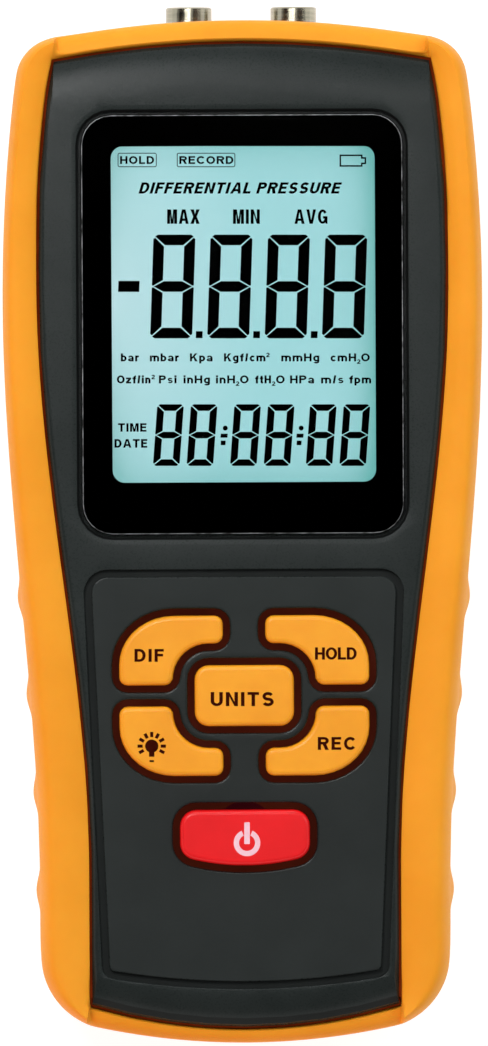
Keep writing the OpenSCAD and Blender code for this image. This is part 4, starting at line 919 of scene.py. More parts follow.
    # Zinc-plated steel screws: blue-grey, with marks round the shank.
    STEEL = TurnedMetal("screw_zinc", "#A9ADB0", "#8F9396", 0.3, across=Vector((0, 0, 1)))
    # Tinned sheet of the inlet: pale silver, with marks that run round its mouth.
    TIN = TurnedMetal("inlet_tin", "#C4C6C8", "#ADB0B3", 0.22, across=Vector((1, 0, 0)))


class Wardrobe:
    """Keeps one Blender material for each finish."""

    def __init__(self) -> None:
        """Starts with nothing made."""
        self.made: dict[Finishes, bpy.types.Material] = {}

    def material(self, finish: Finishes) -> bpy.types.Material:
        """Looks a material up, and builds it at its first use.

        Args:
            finish: The finish.

        Returns:
            Its material.
        """
        if finish not in self.made:
            self.made[finish] = finish.value.material()
        return self.made[finish]

    def node(self, name: str, finish: Finishes) -> None:
        """Dresses a CAD node that is shown as it is."""
        dress(frame["nodes"][name], self.material(finish))

    def piece(self, piece: bpy.types.Object, finish: Finishes, slot: str, body: Optional[str] = None) -> None:
        """Dresses a new piece and reports it.

        Args:
            piece: The finished mesh.
            finish: Its finish.
            slot: Not used.
            body: Body that it rides on, if it doesn't ride yet.
        """
        dress(piece, self.material(finish))
        if body:
            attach(piece, body)
        LOG.info("%s: %d faces, %s", piece.name, len(piece.data.polygons), finish.value.name)


# Printed words and signs

# A letter's stems follow the stretch of its word, which these rounds settle.
FIT_ROUNDS = 3


@dataclass(frozen=True)
class Letters:
    """Plain bold letters, drawn as outlines in shares of a capital's height.

    The stem and the bar are the widths of upright and lying strokes, small is the height of small letters,
    below is how far their tails reach down, and arm is where the middle arm of an E begins.
    """

    stem: float = 0.21
    bar: float = 0.17
    spacing: float = 0.16
    small: float = 0.73
    below: float = 0.26
    arm: float = 0.42
    usual_width: float = 0.8
    widths: ClassVar[Mapping[str, float]] = {
        "A": 0.94, "C": 0.86, "E": 0.7, "F": 0.66, "G": 0.9, "K": 0.84, "L": 0.66, "M": 0.96, "O": 0.92,
        "P": 0.76, "R": 0.8, "S": 0.78, "T": 0.76, "V": 0.9, "X": 0.9, " ": 0.2, "a": 0.64, "b": 0.64,
        "c": 0.6, "f": 0.42, "g": 0.64, "m": 1.02, "n": 0.62, "p": 0.64, "r": 0.42, "s": 0.6, "t": 0.42,
        "z": 0.6, "/": 0.36, "2": 0.62,
    }

    def glyph(self, letter: str, s: float) -> tuple[float, list[Loop]]:
        """Draws one letter.

        Args:
            letter: The letter.
            s: Width of its stems.

        Returns:
            Its width and its closed outlines; an outline inside another one is a hole.
        """
        w = s if letter in "Ii" else self.widths.get(letter, self.usual_width)
        if letter in "ILTFEKHNMAVX":
            return w, self.straight_glyph(letter, w, s)
        if letter in "DPRUOCGS":
            return w, self.round_glyph(letter, w, s)
        if letter in "nmrbpga":
            return w, self.arched_glyph(letter, w, s)
        if letter in "csftzi2/":
            return w, self.small_glyph(letter, w, s)
        return w, []

    def straight_glyph(self, letter: str, w: float, s: float) -> list[Loop]:
        """Draws a capital that has only straight strokes.

        Args:
            letter: The letter.
            w: Its width.
            s: Width of its stems.

        Returns:
            Its closed outlines.
        """
        t, arm = self.bar, self.arm
        c, top = w / 2, 1 - t
        if letter == "I":
            return [block(0, 0, s, 1)]
        if letter == "L":
            return [[(0, 0), (w, 0), (w, t), (s, t), (s, 1), (0, 1)]]
        if letter == "T":
            x0, x1 = c - s / 2, c + s / 2
            return [[(x0, 0), (x1, 0), (x1, top), (w, top), (w, 1), (0, 1), (0, top), (x0, top)]]
        if letter in "FE":
            tip = w * 0.92
            foot = [(0, 0), (w, 0), (w, t), (s, t)] if letter == "E" else [(0, 0), (s, 0)]
            arms = [(s, arm), (tip, arm), (tip, arm + t), (s, arm + t), (s, top), (w, top), (w, 1), (0, 1)]
            return [foot + arms]
        if letter == "K":
            lower = [(0, 0), (s, 0), (s, 0.3), (s + 0.15, 0.46), (w - 1.3 * s, 0), (w, 0)]
            upper = [(s + 0.28, 0.6), (w - 0.03, 1), (w - 1.35 * s, 1), (s, 0.54), (s, 1), (0, 1)]
            return [lower + upper]
        if letter == "H":
            low, high = 0.5 - t / 2, 0.5 + t / 2
            lower = [(0, 0), (s, 0), (s, low), (w - s, low), (w - s, 0), (w, 0)]
            upper = [(w, 1), (w - s, 1), (w - s, high), (s, high), (s, 1), (0, 1)]
            return [lower + upper]
        if letter == "N":
            notch = 0.32
            lower = [(0, 0), (s, 0), (s, 1 - notch), (w - s, 0), (w, 0)]
            return [lower + [(w, 1), (w - s, 1), (w - s, notch), (s, 1), (0, 1)]]
        if letter == "M":
            point, notch, wide = s * 0.5, 0.72, s * 1.3
            lower = [(0, 0), (s, 0), (s, notch), (c - point, 0), (c + point, 0), (w - s, notch), (w - s, 0)]
            return [lower + [(w, 0), (w, 1), (w - wide, 1), (c, 0.32), (wide, 1), (0, 1)]]
        if letter == "A":
            low, high, tip = 0.2, 0.2 + t, 0.8
            x0, x1 = s + (c - s) * low / tip, s + (c - s) * high / tip
            legs = [(0, 0), (s, 0), (x0, low), (w - x0, low), (w - s, 0), (w, 0)]
            return [legs + [(c + s * 0.6, 1), (c - s * 0.6, 1)], [(x1, high), (w - x1, high), (c, tip)]]
        if letter == "V":
            return [[(c - s * 0.55, 0), (c + s * 0.55, 0), (w, 1), (w - s, 1), (c, 0.26), (s, 1), (0, 1)]]
        wide, waist, notch = s * 1.2, s * 0.6, 0.17
        lower = [(0, 0), (wide, 0), (c, 0.5 - notch), (w - wide, 0), (w, 0), (c + waist, 0.5)]
        upper = [(w, 1), (w - wide, 1), (c, 0.5 + notch), (wide, 1), (0, 1), (c - waist, 0.5)]
        return [lower + upper]

    def round_glyph(self, letter: str, w: float, s: float) -> list[Loop]:
        """Draws a capital that has a round stroke.

        Args:
            letter: The letter.
            w: Its width.
            s: Width of its stems.

        Returns:
            Its closed outlines.
        """
        t, arm = self.bar, self.arm
        c, top = w / 2, 1 - t
        rx, ry = (w - s) / 2, (1 - t) / 2
        if letter == "D":
            r = w * 0.55
            hole = [(s, t)] + bow(w - r, 0.5, r - s, 0.5 - t, -90, 90) + [(s, top)]
            return [[(0, 0)] + bow(w - r, 0.5, r, 0.5, -90, 90) + [(0, 1)], hole]
        if letter in "PR":
            r, mid = w * 0.42, (arm + 1) / 2
            leg = [] if letter == "P" else [(w * 0.44, arm), (w - s * 1.1, 0), (w, 0)]
            belly = bow(w - r, mid, r, 1 - mid, -90 if letter == "P" else -64, 90)
            hole = [(s, arm + t)] + bow(w - r, mid, r - s, 1 - mid - t, -90, 90) + [(s, top)]
            return [[(0, 0), (s, 0), (s, arm)] + leg + belly + [(0, 1)], hole]
        if letter == "U":
            deep = c * 0.9
            inner = bow(c, deep, c - s, deep - t, 360, 180)
            return [[(0, 1)] + bow(c, deep, c, deep, 180, 360) + [(w, 1), (w - s, 1)] + inner + [(s, 1)]]
        if letter == "O":
            return [bow(c, 0.5, c, 0.5, 0, 350, 34), bow(c, 0.5, c - s, 0.5 - t, 0, 350, 34)]
        if letter == "C":
            return [stroke(bow(w * 0.54, 0.5, (w * 1.08 - s) / 2, ry, 40, 320, 24), (s + t) / 2)]
        if letter == "G":
            shelf, inwards = 0.53, c + 0.03
            foot = [(w - s * 0.7, 0.13), (w - s * 0.6, 0), (w, 0), (w, shelf), (inwards, shelf)]
            spur = foot + [(inwards, shelf - t), (w - s, shelf - t), (w - s, 0.3)]
            return [bow(c, 0.5, c, 0.5, 36, 302, 24) + spur + bow(c, 0.5, c - s, 0.5 - t, 320, 36, 24)]
        half = ry / 2
        path = bow(c, 0.5 + half, rx * 0.94, half, 24, 258, 16) + bow(c, 0.5 - half, rx, half, 78, -156, 16)
        return [stroke(path, (s + t) / 2)]

    def arched_glyph(self, letter: str, w: float, s: float) -> list[Loop]:
        """Draws a small letter that has a stem with an arch or a bowl.

        Args:
            letter: The letter.
            w: Its width.
            s: Width of its stems.

        Returns:
            Its closed outlines.
        """
        t, x, d = self.bar, self.small, self.below
        c, r = w / 2, 0.32
        mid, belly = x / 2, w * 0.52
        stem = [(0, 0), (s, 0)]
        if letter == "n":
            arch = bow(c, x - r, c - s, r - t, 180, 0) + [(w - s, 0), (w, 0)] + bow(c, x - r, c, r, 0, 90)
            return [stem + arch + [(0, x)]]
        if letter == "m":
            left, right = c - s / 2, c + s / 2
            half = (left - s) / 2
            first = bow(s + half, x - r, half, r - t, 180, 0) + [(left, 0), (right, 0)]
            second = bow(right + half, x - r, half, r - t, 180, 0) + [(w - s, 0), (w, 0)]
            return [stem + first + second + bow(w - r, x - r, r, r, 0, 90) + [(0, x)]]
        if letter == "r":
            return [stem + bow(w, x - r, w - s, r - t, 180, 90) + [(w, x), (0, x)]]
        if letter in "bp":
            bowl = bow(w - belly, mid, belly, mid, -90, 90)
            hole = [(s, t)] + bow(w - belly, mid, belly - s, mid - t, -90, 90) + [(s, x - t)]
            if letter == "b":
                return [[(0, 0)] + bowl + [(s, x), (s, 1), (0, 1)], hole]
            return [[(0, -d), (s, -d), (s, 0)] + bowl + [(0, x)], hole]
        if letter == "g":
            drop = 0.02
            tail = bow(c, -drop, c, d - drop, 0, -150) + bow(c, -drop, c - s, d - drop - t, -150, 0)
            hole = [(w - s, t)] + bow(belly, mid, belly - s, mid - t, -90, -270) + [(w - s, x - t)]
            return [[(w, x)] + tail + [(w - s, 0)] + bow(belly, mid, belly, mid, -90, -270), hole]
        t, low = t * 0.8, x * 0.27
        hook = bow(c, x - r, c, r, 0, 160) + bow(c, x - r, c - s, r - t, 160, 0)
        hole = [(w - s, t), (w - s, 2 * low - t)] + bow(c, low, c - s * 0.9, low - t, 90, 270)
        return [[(w, 0)] + hook + [(w - s, 2 * low)] + bow(c, low, c, low, 90, 270), hole]

    def small_glyph(self, letter: str, w: float, s: float) -> list[Loop]:
        """Draws any other small letter, a figure or a slash.

        Args:
            letter: The letter.
            w: Its width.
            s: Width of its stems.

        Returns:
            Its closed outlines.
        """
        t, x = self.bar, self.small
        c, r, mid, left = w / 2, 0.32, x / 2, w * 0.24
        if letter == "i":
            return [block(0, 0, s, x), block(0, 1 - t, s, 1)]
        if letter == "c":
            return [stroke(bow(w * 0.54, mid, (w * 1.08 - s) / 2, (x - t) / 2, 42, 318, 20), (s + t) / 2)]
        if letter == "s":
            rx, ry = (w - s) / 2, (x - t) / 4
            path = bow(c, mid + ry, rx * 0.94, ry, 24, 258, 14) + bow(c, mid - ry, rx, ry, 78, -156, 14)
            return [stroke(path, min((s + t) / 2, ry * 1.25))]
        if letter == "f":
            hook = bow(w, 1 - r, w - left - s, r - t, 180, 90) + bow(w, 1 - r, w - left, r, 90, 180)
            lower = [(left, 0), (left + s, 0), (left + s, x - t), (w, x - t), (w, x), (left + s, x)]
            return [lower + hook + [(left, x), (0, x), (0, x - t), (left, x - t)]]
        if letter == "t":
            tip, heel = 0.95, 0.1
            upper = [(0, x), (left, x), (left, tip), (left + s, tip), (left + s, x), (w, x), (w, x - t)]
            foot = [(left + s, x - t), (left + s, t), (w, t), (w, 0), (left + s * 0.5, 0), (left, heel)]
            return [upper + foot + [(left, x - t), (0, x - t)]]
        if letter == "z":
            wide = s * 1.3
            lower = [(0, 0), (w, 0), (w, t), (wide, t), (w, x - t)]
            return [lower + [(w, x), (0, x), (0, x - t), (w - wide, x - t), (0, t)]]
        if letter == "2":
            curl = bow(c, 1 - r, c, r, -30, 165) + bow(c, 1 - r, c - s, r - t, 165, -30)
            return [[(0, 0), (w, 0), (w, t), (s * 1.4, t)] + curl + [(0, t)]]
        return [[(0, 0), (s, 0), (w, 1), (w - s, 1)]]

    def set(self, text: str, columns_px: Span, baseline_px: float, cap_px: float, slant: float) -> list[Loop]:
        """Sets a word between two columns of the photograph.

        Args:
            text: The word.
            columns_px: Where its first letter begins and its last letter ends.
            baseline_px: Row of its baseline.
            cap_px: Height of its capitals.
            slant: How far a letter leans, as a share of its height.

        Returns:
            The outlines in the object's frame.
        """
        left_px, right_px = columns_px
        lean_px = slant * cap_px
        room = right_px - left_px - lean_px
        stem = self.stem
        for _ in range(FIT_ROUNDS):
            glyphs = [self.glyph(letter, stem) for letter in text]
            scale = room / (sum(w for w, _ in glyphs) + self.spacing * (len(text) - 1))
            stem = self.stem * cap_px / scale
        loops: list[Loop] = []
        start = 0.0
        for width, outlines in glyphs:
            begin_px = left_px + start * scale
            for outline in outlines:
                placed = [(begin_px + x * scale + lean_px * y, baseline_px - y * cap_px) for x, y in outline]
                loops.append(PHOTO.loop(placed))
            start += width + self.spacing
        return loops


PLAIN = Letters()
BOLD = Letters(stem=0.26, bar=0.21)
TIGHT = Letters(stem=0.24, bar=0.19, spacing=0.06)
SPACED = Letters(stem=0.25, bar=0.2, spacing=0.2)


@dataclass(frozen=True)
class Row:
    """Words on one baseline of the photograph, each with the columns where it begins and ends."""

    baseline_px: float
    cap_px: float
    words: tuple[tuple[str, Span], ...]
    letters: Letters = BOLD
    slant: float = 0.0

    def loops(self) -> list[Loop]:
        """Draws the words.

        Returns:
            The outlines in the object's frame.
        """
        loops: list[Loop] = []
        for text, columns_px in self.words:
            loops += self.letters.set(text, columns_px, self.baseline_px, self.cap_px, self.slant)
        return loops


@dataclass(frozen=True)
class SegmentDigit:
    """A seven-segment digit with leaning sides, all of its segments on."""

    top_px: float
    width_px: float
    height_px: float
    lean_px: float
    upright_px: float
    bar_px: float
    gap_px: float
    corner_share: float = 0.3

    def loops(self, left_px: float) -> list[Loop]:
        """Draws one digit.

        Args:
            left_px: Column of its upper left corner.

        Returns:
            The outlines of its seven segments, in the object's frame.
        """
        w, h, g = self.width_px, self.height_px, self.gap_px / 2
        a, b, half = self.upright_px, self.bar_px, self.height_px / 2
        corner = min(a, b) * self.corner_share
        far, near, edge = corner + g * 1.4, corner * 0.2 + g * 1.4, corner * 0.6
        top = [(far, 0), (w - far, 0), (w - near, edge), (w - a - g, b), (a + g, b), (near, edge)]
        upper = [(0, far), (edge, edge + g * 1.4), (a, b + g * 1.6)]
        left = upper + [(a, half - b / 2 - g * 1.2), (corner * 0.4, half - g * 0.8), (0, half - g * 1.6)]
        middle = [(g * 2.2, half), (a + g, half - b / 2), (w - a - g, half - b / 2)]
        middle += [(w - g * 2.2, half), (w - a - g, half + b / 2), (a + g, half + b / 2)]

        def flip_x(points: Loop) -> Loop:
            """Mirrors a segment left to right."""
            return [(w - x, y) for x, y in points]

        def flip_y(points: Loop) -> Loop:
            """Mirrors a segment top to bottom."""
            return [(x, h - y) for x, y in points]

        segments = [top, flip_y(top), left, flip_x(left), flip_y(left), flip_x(flip_y(left)), middle]
        lean = self.lean_px / h
        return [PHOTO.loop((left_px + x - lean * y, self.top_px + y) for x, y in s) for s in segments]


# Sub-assemblies


@dataclass
class Case:
    """Holster, shells and what closes the back.

    A rise is the upward part of a face's normal: 1 for a face that looks straight up, 0 for a wall.
    """

    wardrobe: Wardrobe
    rubber_crease_deg: float = 50
    shell_crease_deg: float = 32
    key_stand: float = 1.4 * MM
    rim_mm: float = 0.15
    door_edge_mm: float = 0.2
    # The ledge under the lip: faces this deep below the front and rising this much get its painted glow.
    ledge_depth: float = 1.5 * MM
    ledge_rise: float = 0.6
    # Recess walls: faces within this margin of the window and this deep get painted shade.
    recess_margin: float = 1 * MM
    recess_depth: float = 0.02 * MM
    panel_top_px: Point = (92.5, 576)
    panel_foot_px: Point = (110.5, 976)
    panel_rise: float = 0.99
    # Groove: faces between these depths and rising this much get painted shade.
    groove_depths: Span = (0.6 * MM, 1.2 * MM)
    groove_rise: float = 0.5

    def build(self) -> None:
        """Refines the moulded parts that show."""
        w = self.wardrobe
        boot = copied("holster", "holster_boot")
        refine(boot, self.rubber_crease_deg)
        smooth(boot, self.rubber_crease_deg)
        w.piece(boot, Finishes.HOLSTER, "holster_rubber")
        front = copied("front_shell", "shell_front")
        round_rims(front, self.face_level(), self.rim_mm)
        w.piece(shaded(front, self.shell_crease_deg), Finishes.SHELL, "shell_plastic")
        self.tint(front)
        rear = shaded(copied("rear_shell", "shell_rear"), self.shell_crease_deg)
        w.piece(rear, Finishes.SHELL, "shell_plastic")
        door = copied("battery_door", "door_of_battery_bay")
        round_edges(door, self.door_edge_mm)
        w.piece(shaded(door, self.shell_crease_deg), Finishes.SHELL, "shell_plastic")

    def tint(self, front: bpy.types.Object) -> None:
        """Gives parts of the front shell a finish of their own, each by its place and the way its faces look.

        Args:
            front: The front shell, dressed.
        """
        # Painted light: a red-brown glow under the lip, and shade painted in the groove and on the recess
        # walls.
        finishes = (Finishes.UNDER_LIP, Finishes.PANEL, Finishes.GROOVE, Finishes.RECESS)
        for finish in finishes:
            front.data.materials.append(self.wardrobe.material(finish))
        under_lip, panel, groove, recess = range(1, len(finishes) + 1)
        level, margin = self.face_level(), self.recess_margin
        groove_top, groove_foot = self.groove_depths
        low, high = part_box("lens_window")
        for polygon in front.data.polygons:
            spot, rise = polygon.center, polygon.normal.z
            depth = level - spot.z
            beside = low.x - margin < spot.x < high.x + margin
            in_recess = beside and low.y - margin < spot.y < high.y + margin
            if rise > self.ledge_rise and depth > self.ledge_depth and not in_recess:
                polygon.material_index = under_lip
            elif rise < FLAT_RISE and depth > self.recess_depth and in_recess:
                polygon.material_index = recess
            elif rise > self.panel_rise and depth < LEVEL_SLACK and self.in_panel(spot):
                polygon.material_index = panel
            elif rise > self.groove_rise and groove_top < depth < groove_foot and spot.y < low.y:
                polygon.material_index = groove

    def in_panel(self, spot: Vector) -> bool:
        """Tells whether a place lies in the keypad panel, which narrows downwards, inside its groove.

        Args:
            spot: A place on the flat front.

        Returns:
            True inside the panel.
        """
        top_x, top_y = PHOTO.spot(*self.panel_top_px)
        foot_x, foot_y = PHOTO.spot(*self.panel_foot_px)
        share = (top_y - spot.y) / (top_y - foot_y)
        half = abs(top_x) + share * (abs(foot_x) - abs(top_x))
        return 0 < share < 1 and abs(spot.x) < half

    def face_level(self) -> float:
        """Returns the height of the flat front face, below the keys by their stand."""
        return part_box("key_units")[1].z - self.key_stand

    def dress(self) -> None:
        """Dresses the fasteners and the foam pad."""
        for name in ("case_screws", "pcb_screws"):
            self.wardrobe.node(name, Finishes.STEEL)
        self.wardrobe.node("door_foam", Finishes.FOAM)


@dataclass
class Display:
    """Window, display glass and its artwork, in columns and rows of the photograph.

    The ink is the thickness of the print, and the pane's rim gets a painted highlight where its faces rise
    within a span. A block is its left side, first end, right side, second end and lean. Blocks and dots of a
    point or colon are given from the column of their sign.
    """

    wardrobe: Wardrobe
    ink: float = 0.03 * MM
    rim_rounding_mm: float = 0.08
    highlight_rise: Span = (0.75, 0.98)
    crease_deg: float = 40
    view_px: tuple[float, float, float, float] = (111.9, 146.6, 376.2, 483.0)
    margin_px: float = 9.0
    corner_px: float = 12.5
    corner_steps: int = 8
    lean_px: float = 1.1
    line_px: float = 0.8
    tag_corner_px: float = 2.0
    cell_line_px: float = 1.6
    digit_columns_px: tuple[float, ...] = (153.6, 210.6, 268.0, 325.2)
    clock_columns_px: tuple[float, ...] = (157.4, 191.0, 234.4, 268.0, 310.0, 343.6)
    point_columns_px: tuple[float, ...] = (199.3, 256.6, 314.1)
    colon_columns_px: tuple[float, ...] = (224.4, 300.2)
    tags_px: ClassVar[tuple[tuple[float, ...], ...]] = (
        (117.8, 153.3, 156.8, 167.6),
        (176.9, 153.3, 235.3, 167.6),
    )
    minus_px: ClassVar[tuple[float, ...]] = (118.6, 281.2, 139.8, 292.2, 0.4)
    point_px: ClassVar[tuple[float, ...]] = (-3.3, 331.4, 3.5, 338.4, 0.2)
    colon_px: ClassVar[tuple[tuple[float, ...], ...]] = (
        (-3.6, 433.8, 3.4, 437.8, 0.3),
        (-3.5, 440.7, 1.3, 445.3, 0.2),
    )
    colon_dot_px: ClassVar[tuple[float, ...]] = (0.9, 428.2, 2.5)
    dot_corners: int = 16
    digit: ClassVar[SegmentDigit] = SegmentDigit(
        top_px=235.0, width_px=42.0, height_px=103.6, lean_px=3.4, upright_px=11.0, bar_px=10.6, gap_px=1.7
    )
    clock_digit: ClassVar[SegmentDigit] = SegmentDigit(
        top_px=404.4, width_px=26.6, height_px=61.6, lean_px=4.4, upright_px=7.2, bar_px=6.6, gap_px=1.3
    )
    titles: ClassVar[tuple[Row, ...]] = (
        Row(164.4, 7.8, (("HOLD", (120.2, 154.2)), ("RECORD", (179.4, 233.4)))),
        Row(194.0, 11.2, (("DIFFERENTIAL PRESSURE", (138.6, 342.0)),), slant=0.3),
        Row(224.2, 14.4, (("MAX", (167.2, 199.8)), ("MIN", (233.0, 259.8)), ("AVG", (294.4, 327.4))), PLAIN),
        Row(431.8, 8.4, (("TIME", (118.2, 146.6)),)),
        Row(447.8, 8.6, (("DATE", (114.6, 147.4)),)),
    )
    units: ClassVar[tuple[Row, ...]] = (
        Row(361.6, 8.0, (("bar", (121, 139)), ("mbar", (150, 179)), ("Kpa", (190, 212.6)))),
        Row(361.6, 8.0, (("Kgf/cm", (224, 265.4)), ("mmHg", (281.2, 319.2)))),
        Row(361.6, 8.0, (("cmH", (330.4, 356)), ("O", (361, 369.6)))),
        Row(383.6, 8.0, (("Ozf/in", (117, 150.6)), ("Psi", (159, 176.6)), ("inHg", (183.6, 210)))),
        Row(383.6, 8.0, (("inH", (216, 235)), ("O", (240, 248.6)), ("ftH", (255, 271)), ("O", (276, 284.6)))),
        Row(383.6, 8.0, (("HPa", (290, 314)), ("m/s", (321, 343.6)), ("fpm", (349, 371)))),
        Row(357.4, 4.4, (("2", (266.2, 269.6)),)),
        Row(364.0, 4.4, (("2", (356.9, 360.3)),)),
        Row(379.4, 4.4, (("2", (151.6, 155.0)),)),
        Row(386.0, 4.4, (("2", (235.9, 239.3)), ("2", (271.9, 275.3)))),
    )

    def build(self) -> None:
        """Prints the artwork on the display glass, under the window."""
        signs = self.tags() + self.battery_sign()
        for row in self.titles:
            signs += row.loops()
        units: list[Loop] = []
        for row in self.units:
            units += row.loops()
        self.print_on_glass("display_border", self.border(), Finishes.FRAME_FILM, "tape_black")
        self.print_on_glass("display_digits", self.digits(), Finishes.SEGMENT, "bezel_black")
        self.print_on_glass("display_signs", signs, Finishes.SEGMENT, "bezel_black")
        self.print_on_glass("display_units", units, Finishes.SEGMENT, "bezel_black")
        self.window()

    def print_on_glass(self, name: str, loops: list[Loop], finish: Finishes, slot: str) -> None:
        """Prints a layer of ink on top of the display glass.

        Args:
            name: Name of the new piece.
            loops: Its outlines.
            finish: Its finish.
            slot: Material slot of the record, handed on to the wardrobe.
        """
        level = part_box("lcd_glass")[1].z
        self.wardrobe.piece(sheet(name, loops, level, self.ink), finish, slot, CASE)

    def digits(self) -> list[Loop]:
        """Draws all digits, the minus sign, the points and the colons.

        Returns:
            Their outlines.
        """
        loops: list[Loop] = []
        for column in self.digit_columns_px:
            loops += self.digit.loops(column)
        for column in self.clock_columns_px:
            loops += self.clock_digit.loops(column)
        loops.append(PHOTO.loop(block(*self.minus_px)))
        for column in self.point_columns_px:
            loops.append(self.shifted(self.point_px, column))
        (dot_x, dot_y, radius), corners = self.colon_dot_px, self.dot_corners
        last = 360 - 360 / corners
        for column in self.colon_columns_px:
            loops.append(PHOTO.loop(bow(column + dot_x, dot_y, radius, radius, 0, last, corners - 1)))
            for part in self.colon_px:
                loops.append(self.shifted(part, column))
        return loops

    def shifted(self, part: tuple[float, ...], column: float) -> Loop:
        """Draws a block beside a column.

        Args:
            part: The block, given from the column.
            column: The column.

        Returns:
            Its outline in the object's frame.
        """
        left, first, right, second, lean = part
        return PHOTO.loop(block(column + left, first, column + right, second, lean))

    def tags(self) -> list[Loop]:
        """Draws the thin rounded frames round the two tags in the first line.

        Returns:
            Their outlines and the holes in them.
        """
        t, corner = self.line_px, self.tag_corner_px
        loops: list[Loop] = []
        for x0, y0, x1, y1 in self.tags_px:
            loops.append(PHOTO.loop(rounded_box(x0, y0, x1, y1, corner)))
            loops.append(PHOTO.loop(rounded_box(x0 + t, y0 + t, x1 - t, y1 - t, corner - t)))
        return loops

    def battery_sign(self) -> list[Loop]:
        """Draws the low-battery sign: a thin outline of a cell with its nub at the right.

        Returns:
            The outline and the hole in it.
        """

        def cell(e: float) -> Loop:
            """Draws the cell.

            Args:
                e: How many pixels its outline is drawn in.

            Returns:
                The outline in pixels.
            """
            left, neck, tip = 339.4 + e, 362.4 - e, 366 - e
            top, upper, lower, foot = 155 + e, 157.6 + e, 164.6 - e, 167.2 - e
            nub = [(neck, upper), (tip, upper), (tip, lower), (neck, lower)]
            return [(left, top), (neck, top)] + nub + [(neck, foot), (left, foot)]

        return [PHOTO.loop(cell(0)), PHOTO.loop(cell(self.cell_line_px))]

    def border(self) -> list[Loop]:
        """Draws the black margin printed round the area that shows.

        Returns:
            Its outline and the hole in it.
        """
        x0, y0, x1, y1 = self.view_px
        wide, corner = self.margin_px, self.corner_px

        def leaning(x: float, y: float) -> Point:
            """Leans the left side of the area in, as it shows in the photograph."""
            return (x + self.lean_px * (x1 - x) / (x1 - x0) * (2 * (y - y0) / (y1 - y0) - 1), y)

        outline = rounded_box(x0 - wide, y0 - wide, x1 + wide, y1 + wide, corner)
        hole = [leaning(x, y) for x, y in rounded_box(x0, y0, x1, y1, corner, self.corner_steps)]
        return [PHOTO.loop(outline), PHOTO.loop(hole)]

    def window(self) -> None:
        """Polishes the window pane, and paints a highlight line on the rounding of its rim."""
        w = self.wardrobe
        pane = copied("lens_window", "window_pane")
        round_edges(pane, self.rim_rounding_mm)
        w.piece(shaded(pane, self.crease_deg), Finishes.LENS, "lens_clear")
        # The faces of the rim's rounding get a painted highlight line.
        pane.data.materials.append(w.material(Finishes.GROUND_EDGE))
        low, high = self.highlight_rise
        for polygon in pane.data.polygons:
            polygon.material_index = int(low < polygon.normal.z < high)

    def dress(self) -> None:
        """Dresses the glass and what holds and lights it."""
        w = self.wardrobe
        w.node("lcd_glass", Finishes.DISPLAY)
        w.node("lens_tape", Finishes.FRAME_FILM)
        w.node("lcd_bezel", Finishes.BEZEL)
        w.node("backlight", Finishes.LIGHT_GUIDE)
        w.node("zebra_strips", Finishes.CONTACT)


